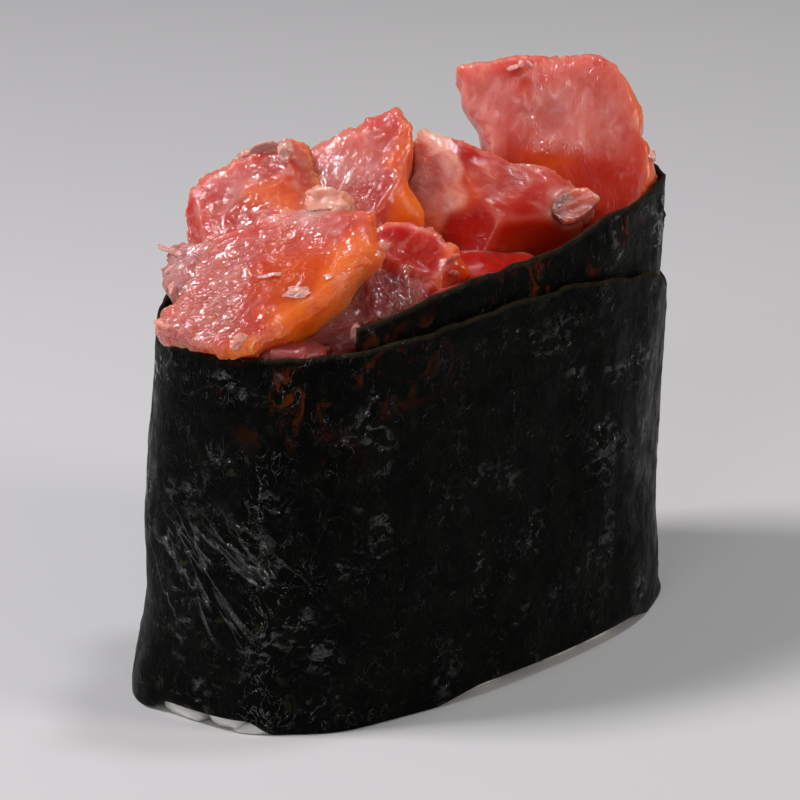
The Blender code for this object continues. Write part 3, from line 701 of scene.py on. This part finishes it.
def rice_material():
    """Cooked sushi rice: milky, a little glassy and sticky."""
    made = Shader("rice_cooked")
    place = made.add("ShaderNodeTexCoord", "Object", {})
    colour = made.mix(made.noise(place, 900.0, 3.0), *RICE_WHITES)
    gloss = made.ramp(made.noise(place, 2500.0), 0.3, 0.7, 0.25, 0.45)
    relief = made.bump(made.noise(place, 3000.0, 4.0), 0.00005, 0.6)
    made.set(Base_Color=colour, Roughness=gloss, Normal=relief)
    made.set(Subsurface_Weight=0.6, Subsurface_Scale=0.0008, Subsurface_Radius=RICE_SPREAD, IOR=1.4)
    return made.material


def floor_material():
    """A plain pale matt surface."""
    made = Shader("floor_matt")
    place = made.add("ShaderNodeTexCoord", "Object", {})
    tone = made.mix(made.noise(place, 14.0, 4.0), *FLOOR_GREYS)
    made.set(Base_Color=tone, Roughness=0.75)
    return made.material


# ---------------- nori


def eased(table, at):
    """Read a table of (position, value) pairs at an array, easing between pairs."""
    positions, values = np.array(table, float).T
    at = np.clip(at, positions[0], positions[-1])
    after = np.clip(np.searchsorted(positions, at), 1, len(positions) - 1)
    share = (at - positions[after - 1]) / (positions[after] - positions[after - 1])
    return values[after - 1] + (values[after] - values[after - 1]) * smooth(share)


def signed_power(value, power):
    """Raise a value's size to a power and keep its sign."""
    return np.copysign(np.abs(value) ** power, value)


def turn_between(angle, where):
    """Return the signed turn from one angle to another."""
    return (angle - where + FULL_TURN / 2) % FULL_TURN - FULL_TURN / 2


def band_point(angle, height, outwards=0.0):
    """Return points on the band's outer face, moved outwards by a distance."""
    up = height / BAND_HEIGHT
    length = BASE_HALF_LENGTH + (RIM_HALF_LENGTH - BASE_HALF_LENGTH) * up
    width = BASE_HALF_WIDTH + (RIM_HALF_WIDTH - BASE_HALF_WIDTH) * up
    power = 2.0 / (BASE_SQUARENESS + (RIM_SQUARENESS - BASE_SQUARENESS) * up)
    taper = BASE_TAPER + (RIM_TAPER - BASE_TAPER) * up
    along = signed_power(np.cos(np.radians(angle)), power)
    across = signed_power(np.sin(np.radians(angle)), power)
    x = (length + outwards) * along + RIM_SHIFT_X * up
    y = (width + outwards) * (1.0 + taper * along) * across + RIM_SHIFT_Y * up
    return stacked(x, y, height)


def fold_depth(angle, height):
    """Return how far the folds and crinkles push the band out at angles and heights."""
    depth = 0.0
    for where, level, wide, tall, out in FOLDS:
        turn = turn_between(angle, where)
        depth = depth + out * np.exp(-((turn / wide) ** 2) - ((height - level) / tall) ** 2)
    swing = np.radians(angle)
    slow = np.sin(CRINKLE_WAVES[0] * swing + 0.21 * height)
    quick = np.sin(CRINKLE_WAVES[1] * swing - 0.33 * height + 1.3)
    return depth + CRINKLE * (slow + quick) / 2


def lower_edge(angle):
    """Return the height of the band's lower edge at angles."""
    height = np.full(np.shape(angle), EDGE_GAP)
    for where, wide, lift in EDGE_LIFTS:
        turn = np.abs(turn_between(angle, where))
        height = np.maximum(height, lift * smooth((wide - turn) / (0.45 * wide)))
    return height


def lap_offset(angle):
    """Return how far out the sheet rides where it passes over its own start."""
    return LAP_OFFSET * smooth((angle - LAP_START + LAP_RISE) / LAP_RISE)


def sheet_points(angle, share, rim_wear=0.0):
    """Return points on the sheet's outer face at angles and shares of its height."""
    low = lower_edge(angle)
    height = low + (eased(RIM_HEIGHTS, angle) + rim_wear - low) * share
    return band_point(angle, height, fold_depth(angle, height) + lap_offset(angle))


def even_angles(count):
    """Return angles along the sheet that are equally far apart on it."""
    dense = np.linspace(SHEET_START, SHEET_END, 12001)
    path = sheet_points(dense, 0.5)
    steps = np.linalg.norm(np.diff(path, axis=0), axis=1)
    travelled = np.concatenate([[0.0], np.cumsum(steps)])
    even = np.linspace(0.0, travelled[-1], count)
    return np.interp(even, travelled, dense), even


def frame_shift():
    """Return where the band's own centre line stands in the part's frame, in millimetres."""
    low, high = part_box("nori")
    steps = round((SHEET_END - SHEET_START) / CORE_STEP)
    angles = np.linspace(SHEET_START, SHEET_END, steps + 1)
    shares = np.linspace(0.0, 1.0, CORE_ROWS + 1)[:, None]
    points = sheet_points(angles[None, :], shares).reshape(-1, 3)
    middle = (points.min(axis=0) + points.max(axis=0)) / 2.0
    box_middle = np.array((low + high) / 2.0) / MM
    return np.array([box_middle[0] - middle[0], box_middle[1] - middle[1], 0.0])


SHIFT = frame_shift()


def placed(points):
    """Turn points of the band's own frame in millimetres into the part's frame in metres."""
    return (points + SHIFT) * MM


def grid_normals(grid):
    """Return the outward normal at each point of a grid of rows and columns."""
    along = np.gradient(grid, axis=1)
    upwards = np.gradient(grid, axis=0)
    normal = np.cross(along, upwards)
    return normal / np.linalg.norm(normal, axis=-1, keepdims=True)


def oily_places(points, angles):
    """Return how oily and creased the sheet is: at the left end and by the right rim."""
    left = hill(turn_between(angles, 190.0), 24.0) * hill(points[:, 2] - 12.5, 4.5)
    right = hill(turn_between(angles, -40.0), 15.0) * hill(points[:, 2] - 33.6, 2.0)
    return np.maximum(left, right)


def sheet_slant(points, travelled):
    """Return millimetres down and up the sheet's diagonals, for rows of points."""
    return stacked(travelled - points[:, 2], travelled + points[:, 2], 0.0)


def sheet_relief(points, travelled, angles):
    """Return the sheet's dents and pressed fibres, in millimetres, at rows of points."""
    on_sheet = stacked(travelled, points[:, 2], 0.0)
    dents = layered(points, (4.5, 4.5, 6.5), 11, 2)
    creases = 1.0 - np.abs(noise(on_sheet, (1.9, 3.4, 1.0), 17)) * 4.0
    fibres = layered(on_sheet, (0.9, 1.5, 1.0), 23, 3, 0.6)
    ridges = 1.0 - 4.0 * np.abs(noise(sheet_slant(points, travelled), (8.0, 3.0, 1.0), 29))
    relief = DENTS * dents + CREASES * np.clip(creases, 0.0, 1.0) + FIBRES * fibres
    return relief + RIDGES * oily_places(points, angles) * np.clip(ridges, 0.0, 1.0)


def make_nori():
    """Make the one spiral sheet of nori: dents, creases, an uneven upper edge, a painted highlight.
    """
    columns, rows = NORI_COLUMNS, NORI_ROWS
    angles, travelled = even_angles(columns)
    wear = RIM_WEAR * layered(stacked(travelled, 0.0, 0.0), 1.6, 5, 3)
    shares = np.linspace(0.0, 1.0, rows)[:, None]
    outer = sheet_points(angles[None, :], shares, wear[None, :])
    normal = grid_normals(outer)
    flat = outer.reshape(-1, 3)
    distance = np.tile(travelled, rows)
    relief = sheet_relief(flat, distance, np.tile(angles, rows)).reshape(rows, columns, 1)
    edge = smooth(shares / 0.03)[..., None]
    thickness = NORI_THICKNESS + UNEVEN * noise(flat, 1.2, 41).reshape(rows, columns, 1)
    skin = outer + normal * relief * edge
    lining = skin - normal * thickness
    lining[..., 2] = np.maximum(lining[..., 2], EDGE_GAP)
    skin[..., 2] = np.maximum(skin[..., 2], EDGE_GAP)
    points = np.concatenate([skin.reshape(-1, 3), lining.reshape(-1, 3)])
    index = np.arange(rows * columns).reshape(rows, columns)
    inner = index + rows * columns
    rims = ((index[-1], inner[-1]), (inner[0], index[0]))
    ends = ((index[:, 0], inner[:, 0]), (inner[:, -1], index[:, -1]))
    faces = [quads(index), quads(inner)[:, ::-1]]
    faces.extend(quads(np.stack(pair)) for pair in rims + ends)
    mesh = mesh_from("nori_sheet", placed(points), np.concatenate(faces).tolist())
    piece = new_object("nori_sheet", mesh, nori_material())
    every = np.tile(distance, 2)
    turns = np.tile(angles, rows * 2)
    # Painted highlight: the top hundredth of the sheet's height.
    rim_highlight = np.tile(np.repeat(smooth((shares[:, 0] - 0.990) / 0.010), columns), 2)
    write_attribute(mesh, "sheet", stacked(every, points[:, 2], 0.0))
    write_attribute(mesh, "rim", stacked(rim_highlight, oily_places(points, turns), 0.0))
    write_attribute(mesh, "slant", sheet_slant(points, every))
    write_attribute(mesh, "tone", sheet_tone(turns, points))
    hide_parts("nori")
    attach(piece, "root")


def sheet_tone(angles, points):
    """Return the painted glow of tuna through the nori, the flecks and the shine at each point."""
    below_rim = eased(RIM_HEIGHTS, angles) - points[:, 2]
    # Painted glow: in two stretches just below the rim, broken into patches.
    front = hill(turn_between(angles, -142.0), 26.0) * hill(below_rim - 2.5, 3.6)
    inner = (angles < -40.0) * hill(turn_between(angles, -80.0), 40.0) * hill(below_rim - 2.0, 2.5)
    thin = smooth(0.2 + 1.6 * layered(points, 2.6, 61, 3))
    left = hill(turn_between(angles, 180.0), 50.0)
    fleck = 0.08 + 0.92 * left * smooth((27.0 - points[:, 2]) / 9.0)
    right_rim = hill(turn_between(angles, -42.0), 26.0) * smooth((points[:, 2] - 29.0) / 4.0)
    shine = np.clip(0.45 + 0.55 * left + 0.8 * right_rim, 0.0, 1.0)
    return stacked(np.maximum(front, 0.8 * inner) * thin, fleck, shine)


# ---------------- rice


def grain_points(length, wide, tall, bend):
    """Return the points of one plump grain that lies along X."""
    turn = circle(GRAIN_AROUND)
    points = [np.array([[-length / 2.0, 0.0, 0.0]])]
    for ring in range(1, GRAIN_RINGS):
        lean = math.pi * ring / GRAIN_RINGS
        reach = math.sin(lean) ** 0.55
        x = -math.cos(lean) * length / 2.0
        y = np.cos(turn) * reach * wide / 2.0
        z = np.sin(turn) * reach * tall / 2.0 + bend * (1.0 - (2.0 * x / length) ** 2)
        points.append(stacked(x, y, z))
    points.append(np.array([[length / 2.0, 0.0, 0.0]]))
    return np.concatenate(points)


def grain_faces():
    """Return the faces of one grain: its two tips and the rings between."""
    last = 1 + GRAIN_AROUND * (GRAIN_RINGS - 1)
    base = last - GRAIN_AROUND
    faces = []
    for step in range(GRAIN_AROUND):
        after = (step + 1) % GRAIN_AROUND
        faces.append((0, 1 + after, 1 + step))
        faces.append((last, base + step, base + after))
    return faces + (tube(GRAIN_RINGS - 1, GRAIN_AROUND) + 1).tolist()


def turned_to(points, along, roll):
    """Turn points that lie along X to a direction, rolled about it."""
    along = Vector(along).normalized()
    turn = Vector((1.0, 0.0, 0.0)).rotation_difference(along).to_matrix()
    level, lift = math.cos(roll), math.sin(roll)
    tilt = np.array([[1, 0, 0], [0, level, -lift], [0, lift, level]])
    return points @ tilt.T @ np.array(turn).T


def grain_size(draw, flattest):
    """Draw the length, width and height of one grain."""
    length = GRAIN_LENGTH * draw.uniform(0.85, 1.1)
    return length, GRAIN_WIDTH, GRAIN_WIDTH * draw.uniform(flattest, 1.0)


def rice_places():
    """Return the middle, direction and size of every grain."""
    places = []
    draw = random.Random(GRAIN_SEED)
    for index in range(GRAINS_ROUND):
        angle = -180.0 + FULL_TURN * (index + draw.uniform(-0.2, 0.2)) / GRAINS_ROUND
        lifted = float(lower_edge(np.array(angle))) > CLEARANCE
        height = draw.uniform(0.3, 0.6) if lifted else draw.uniform(0.9, 1.9)
        inset = draw.uniform(1.35, 1.6) if lifted else draw.uniform(1.4, 1.7)
        before = band_point(angle - 3.0, height)
        after = band_point(angle + 3.0, height + draw.uniform(-0.8, 0.8))
        at = band_point(angle, height, fold_depth(angle, height) - inset)
        places.append((at, after - before, grain_size(draw, 0.8)))
    draw = random.Random(GRAIN_SEED + 1)
    for layer, count in LAYERS:
        for _ in range(count):
            angle = draw.uniform(-180.0, 180.0)
            size = grain_size(draw, 0.85)
            heading = draw.uniform(0.0, 2.0 * math.pi)
            inwards = 1.0 - math.sqrt(draw.random())
            if layer == "side":
                height = draw.uniform(1.5, 21.0)
                at = band_point(angle, height, float(fold_depth(angle, height)) - 2.4)
                tangent = band_point(angle + 2.0, height) - band_point(angle - 2.0, height)
                tangent = tangent / np.linalg.norm(tangent)
                direction = tangent * math.cos(heading) + np.array([0.0, 0.0, math.sin(heading)])
            else:
                height = UNDER_HEIGHT if layer == "under" else TOP_HEIGHT
                middle = np.array([0.0, 0.0, height])
                at = band_point(angle, height, -3.4)
                at = at + (middle - at) * inwards
                lean = draw.uniform(-0.1, 0.1)
                direction = np.array([math.cos(heading), math.sin(heading), lean])
            places.append((at, direction, size))
    return places


def make_rice():
    """Make the rice: a core that keeps the solid's form, with whole grains over it."""
    look = rice_material()
    core = remeshed("rice", "rice_core", CORE_CELL)
    points = relaxed(coordinates(core) / MM, *neighbours(core), 3)
    points[:, :2] *= 1.0 - CORE_TUCK * smooth((TUCK_HEIGHT - points[:, 2:]) / TUCK_HEIGHT)
    points[:, 2] = np.maximum(points[:, 2], 0.0)
    put_coordinates(core, points * MM)
    piece = new_object("rice_core", core, look)
    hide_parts("rice")
    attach(piece, "root")
    draw = random.Random(GRAIN_SEED + 2)
    every, faces, count = [], [], 0
    shape = grain_faces()
    for at, direction, (length, wide, tall) in rice_places():
        grain = grain_points(length, wide, tall, draw.uniform(-0.12, 0.12))
        grain = turned_to(grain, direction, draw.uniform(0.0, 2.0 * math.pi)) + at
        grain[:, 2] = np.maximum(grain[:, 2], FLOOR_GAP)
        every.append(grain)
        faces.extend(tuple(count + corner for corner in face) for face in shape)
        count += len(grain)
    mesh = mesh_from("rice_grains", placed(np.concatenate(every)), faces)
    grains = new_object("rice_grains", mesh, look)
    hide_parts("rice")
    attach(grains, "root")


# ---------------- tuna


def remeshed(node, name, cell):
    """Return an evenly meshed copy of a CAD node's mesh, with cells of a size in millimetres."""
    copy = added(name, frame["nodes"][node].data.copy())
    weld = copy.modifiers.new("weld", "WELD")
    weld.merge_threshold = 0.001 * MM
    step = copy.modifiers.new("cells", "REMESH")
    step.mode = "VOXEL"
    step.voxel_size = cell * MM
    graph = bpy.context.evaluated_depsgraph_get()
    made = bpy.data.meshes.new_from_object(copy.evaluated_get(graph))
    made.name = name
    bpy.data.objects.remove(copy)
    return made


def painted(part, kind, local):
    """Return how strongly a kind of place is painted at each point of a piece."""
    found = np.zeros(len(local))
    for what, u, v, wide, tall, soft, strength in PLACES.get(part, ()):
        if what == kind:
            away = np.hypot((local[:, 0] - u) / wide, (local[:, 1] - v) / tall)
            found = np.maximum(found, strength * smooth((1.0 - away) / soft + 0.5))
    return found


def cut_facets(part, local):
    """Flatten a piece of tuna where a knife left a face."""
    local = local.copy()
    for azimuth, elevation, distance in FACETS.get(part, ()):
        outwards = facing_axes(azimuth, elevation)[2]
        beyond = np.maximum(local @ outwards - distance, 0.0)
        local -= FACET_CUT * beyond[:, None] * outwards
    return local


def kept_clear(before, after, wall):
    """Hold moved points short of the nori that they would press through."""
    shift = after - before
    travel = np.linalg.norm(shift, axis=1)
    near = np.nonzero((after[:, 2] < NORI_TOP) & (travel > 0.0))[0]
    for index in near:
        found = wall.find_nearest(Vector(before[index].tolist()), travel[index] + WALL_GAP)
        if found[3] is not None:
            share = max(found[3] - WALL_GAP, 0.0) / travel[index]
            after[index] = before[index] + shift[index] * min(share, 1.0)
    return after


def make_flesh(number, part, looks, wall):
    """Make one piece of tuna over its solid: rounded, fibrous, wrinkled and torn at its edges."""
    at, faces, fibre, cell, kind = PIECES[part]
    node, slot, name = "tuna_" + part, "tuna_" + kind, "flesh_" + part
    mesh = remeshed(node, name, cell)
    points = coordinates(mesh) / MM - SHIFT
    ends, counts = neighbours(mesh)
    knife = SLEEK.get(part, 0.0)
    axes = facing_axes(*faces)
    points = relaxed(points, ends, counts, 3)
    points = cut_facets(part, (points - at) @ axes.T) @ axes + at
    points = relaxed(points, ends, counts, 2 + round(10 * knife))
    put_coordinates(mesh, placed(points))
    normal = vectors(mesh.vertex_normals, "vector")
    broad = relaxed(points, ends, counts, round(BROAD / cell**2))
    convex = np.einsum("ij,ij->i", points - broad, normal)
    convex = relaxed(convex[:, None], ends, counts, 3)[:, 0]
    edge = smooth((convex - EDGE_FROM) / (EDGE_FULL - EDGE_FROM)) * (1.0 - 0.2 * knife)
    crease = points - broad
    reach = np.maximum(np.linalg.norm(crease, axis=1, keepdims=True), 1e-6)
    points = points + crease * np.minimum(SHARPENED * (1.0 - 0.7 * knife), SHARPENED_MOST / reach)
    local = (points - at) @ axes.T
    grain = stacked(*turned(local.T, fibre), local[:, 2]) + GRAIN_APART * (number + 1)
    stirred = stacked(*(noise(grain, 1.6, seed) for seed in (181, 183, 187)))
    painting = local + 0.9 * stirred
    wrinkled = painted(part, WRINKLED, painting)
    wrinkled = np.maximum(wrinkled, 0.14 * smooth(0.1 + 1.5 * noise(grain, 3.4, 163)))
    sleek = knife * (1.0 - smooth(1.4 * wrinkled))
    chips = CHIPPED.get(part, 1.0) * (
        0.20 * noise((grain + 0.8 * stirred) @ STIR, 2.7, 103, True)
        + 0.06 * noise((grain + 0.5 * stirred) @ STIR.T, 1.15, 107, True)
    )
    lumps = chips + 0.07 * layered(grain, (3.6, 2.8, 2.8), 101, 2)
    ripples = 0.04 * (1.0 - 0.6 * sleek) * layered(grain + 0.5 * stirred, (1.3, 0.8, 0.9), 131, 3)
    worm = np.abs(layered(grain + 0.4 * stirred, (1.4, 0.66, 0.75), 171, 2, 0.4))
    wrinkles = wrinkled * (0.15 * smooth(1.0 - worm * 2.6) + 0.02 * noise(grain, 0.4, 177))
    for u, v, wide, right, above in PULLS.get(part, ()):
        pull = hill(np.hypot(local[:, 0] - u, local[:, 1] - v), wide)
        points = points + pull[:, None] * (right * axes[0] + above * axes[1])
    sideways = normal - (normal @ axes[2])[:, None] * axes[2]
    teeth = layered(points, (0.8, 0.8, 0.7), 151, 3, 0.8)
    ragged = 0.25 + 0.75 * smooth(0.5 + 1.4 * noise(points, 3.2, 161))
    torn = edge * (0.30 * teeth * ragged + 0.45 * np.clip(noise(points, 2.1, 157) - 0.35, 0.0, 1.0))
    if kind == "fat":
        ripples = 0.30 * layered(grain, (1.6, 0.9, 1.0), 201, 2) - 0.05
        torn = 0.5 * torn
    for u, v, wide, out in BULGES.get(part, ()):
        lumps += out * hill(np.hypot(local[:, 0] - u, local[:, 1] - v), wide)
    swell = BASE_SWELL if part.startswith("base_") else SWELLS.get(part, SWELL)
    moved = normal * (swell + lumps + ripples + wrinkles)[:, None] + sideways * torn[:, None]
    points = kept_clear(points, points + moved, wall)
    put_coordinates(mesh, placed(points))
    shaded = smooth(0.45 - normal @ LIGHT_FROM)
    # Painted glow: edges turned away from the light, and the glow places, are painted amber.
    painted_glow = EDGE_PAINTED_GLOW[kind] * shaded * (0.2 + 0.4 * edge)
    painted_glow = np.maximum(painted_glow, painted(part, PAINTED_GLOW, painting) * (0.8 + 0.2 * noise(grain, 1.3, 191)))
    # Painted highlight: lit edges and wrinkles paler; pale places, paler flesh and painted sheen.
    light = 0.25 * edge * (1.0 - shaded) + 0.08 * wrinkled
    light = np.maximum(light, painted(part, PALE_AND_SHEEN, painting) * (0.8 + 0.2 * noise(grain, 1.1, 193)))
    # Painted shade: a deeper red below the nori's top, where shade falls, and in the shade places.
    deep = np.maximum(0.8 * smooth((37.0 - points[:, 2]) / 7.0), painted(part, PAINTED_SHADE, painting))
    write_attribute(mesh, "grain", grain)
    write_attribute(mesh, "tone", stacked(wrinkled, painted_glow, light))
    write_attribute(mesh, "depth", stacked(deep, edge, sleek))
    piece = new_object(name, mesh, looks[LOOKS.get(part, kind)])
    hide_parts(node)
    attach(piece, "root")


def on_piece(part, u, v):
    """Return the point on a finished piece's face at a place in its face frame."""
    at, faces = PIECES[part][:2]
    axes = facing_axes(*faces)
    mesh = bpy.data.objects["flesh_" + part].data
    local = (coordinates(mesh) / MM - SHIFT - at) @ axes.T
    away = np.hypot(local[:, 0] - u, local[:, 1] - v)
    near = local[away <= max(0.4, away.min() + 0.05)]
    found = near[near[:, 2].argmax()]
    return found @ axes + at, axes


def shred_points(number, length, width, thickness):
    """Return the points of one ragged flat shred that lies along X, and its faces."""
    lean = np.linspace(0.0, math.pi, SHRED_RINGS)[:, None]
    turn = circle(SHRED_AROUND)
    reach = np.sin(lean) ** 0.6
    ball = stacked(reach * np.cos(turn), reach * np.sin(turn), np.cos(lean)).reshape(-1, 3)
    flat = ball * (length, width, thickness) / 2.0
    seed = SHRED_SEED + number
    flat[:, :2] *= 1.0 + 0.32 * layered(flat, (0.5, 0.5, 2.0), seed, 2, 0.7)[:, None]
    flat[:, 2] += 0.25 * layered(flat, (0.9, 0.6, 1.0), seed + 40, 2)
    return flat, tube(SHRED_RINGS, SHRED_AROUND)[:, ::-1]


def make_shreds():
    """Make the loose shreds, flakes and the one fine strand, one piece for each kind."""
    kept = {}
    every = [(part, kind, *shred) for part, kind, shreds in SHREDS for shred in shreds]
    for number, (part, kind, u, v, length, width, thickness, heading, steep) in enumerate(every):
        at, axes = on_piece(part, u, v)
        flat, faces = shred_points(number, length, width, thickness)
        rise = math.radians(steep)
        along, across = turned(axes, heading)
        up = axes[2] * math.cos(rise) - across * math.sin(rise)
        side = across * math.cos(rise) + axes[2] * math.sin(rise)
        points = flat @ np.array([along, side, up]) + at + axes[2] * thickness * 0.3
        kept.setdefault(kind, []).append((points, flat + GRAIN_APART + 7.0 * number, faces))
    part, u, v, length, width, heading = STRAND
    at, axes = on_piece(part, u, v)
    share = np.linspace(0.0, 1.0, STRAND_RINGS)[:, None]
    turn = circle(STRAND_AROUND)
    along, across = turned(axes, heading)
    reach = width * (1.05 - share)
    line = share[..., None] * length * along + (0.35 * share**2)[..., None] * across
    ring = (reach * np.cos(turn))[..., None] * across + (reach * np.sin(turn))[..., None] * axes[2]
    strand = (line + ring).reshape(-1, 3) + at
    kept["fat"].append((strand, strand + GRAIN_APART, tube(STRAND_RINGS, STRAND_AROUND)))
    for kind, parts in kept.items():
        count, faces = 0, []
        for points, _, own in parts:
            faces.append(own + count)
            count += len(points)
        points = np.concatenate([shred[0] for shred in parts])
        slot, name = "tuna_" + kind, "shreds_" + kind
        mesh = mesh_from(name, placed(points), np.concatenate(faces).tolist())
        look = flesh_material(name, *SHRED_LOOKS[kind], 1.0, SHRED_DEPTH, FAT_SPREAD)
        piece = new_object(name, mesh, look)
        write_attribute(mesh, "grain", np.concatenate([shred[1] for shred in parts]))
        write_attribute(mesh, "tone", np.tile([0.6, 0.0, 0.3], (len(points), 1)))
        write_attribute(mesh, "depth", np.zeros((len(points), 3)))
        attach(piece, "root")


def nori_wall():
    """Return a search tree of the finished nori, in the band's own frame in millimetres."""
    sheet = bpy.data.objects["nori_sheet"].data
    points = coordinates(sheet) / MM - SHIFT
    faces = [tuple(face.vertices) for face in sheet.polygons]
    return BVHTree.FromPolygons(points.tolist(), faces)


def make_tuna():
    """Make every piece of tuna."""
    looks = {kind: flesh_material("flesh_" + kind, *look) for kind, look in FLESH_LOOKS.items()}
    wall = nori_wall()
    for number, part in enumerate(PIECES):
        make_flesh(number, part, looks, wall)
    make_shreds()


# ---------------- studio


def aimed(made, at, towards):
    """Put a camera or light somewhere and point it at a place."""
    made.location = at
    made.rotation_mode = "QUATERNION"
    made.rotation_quaternion = (Vector(towards) - Vector(at)).to_track_quat("-Z", "Y")


def bearing(azimuth, elevation):
    """Return the direction away from the object, azimuth 0 towards its front."""
    return Vector(facing_axes(azimuth, elevation)[2].tolist())


def softbox(name, azimuth, elevation, distance, width, power, colour):
    """Add a square soft light round the object."""
    lamp = bpy.data.lights.new(name, "AREA")
    lamp.shape = "RECTANGLE"
    lamp.size = lamp.size_y = width
    lamp.energy = power
    lamp.color = colour
    middle = Vector((0.0, 0.0, LIT_HEIGHT))
    aimed(added(name, lamp), middle + bearing(azimuth, elevation) * distance, middle)


def make_camera():
    """Put the camera where the photograph was taken from."""
    lens = bpy.data.cameras.new("camera")
    lens.lens = CAMERA_LENS
    lens.sensor_width = CAMERA_SENSOR
    lens.clip_start = 0.01
    lens.clip_end = 10.0
    made = added("camera", lens)
    back = bearing(CAMERA_AZIMUTH, CAMERA_ELEVATION)
    at = Vector(SHIFT.tolist()) * MM + back * CAMERA_DISTANCE
    aimed(made, at, at - bearing(CAMERA_AZIMUTH, CAMERA_ELEVATION - CAMERA_TILT))
    bpy.context.scene.camera = made


def make_studio():
    """Add the plain pale floor, the soft lights and the dim surroundings."""
    mesh = bpy.data.meshes.new("floor")
    corners = [(x * FLOOR_HALF, y * FLOOR_HALF, 0) for x, y in ((-1, -1), (1, -1), (1, 1), (-1, 1))]
    mesh.from_pydata(corners, [], [(0, 1, 2, 3)])
    mesh.materials.append(floor_material())
    floor = added("floor", mesh)
    floor.location.z = -FLOOR_DROP
    world = bpy.data.worlds.new("studio")
    world.use_nodes = True
    around = world.node_tree.nodes["Background"].inputs
    around["Color"].default_value = (1.0, 1.0, 1.0, 1.0)
    around["Strength"].default_value = SURROUNDINGS
    bpy.context.scene.world = world
    for light in LIGHTS:
        softbox(*light)
    view = bpy.context.scene.view_settings
    view.view_transform = "Standard"
    view.look = "None"
    view.exposure = 0.0


make_camera()
make_studio()
make_nori()
make_rice()
make_tuna()
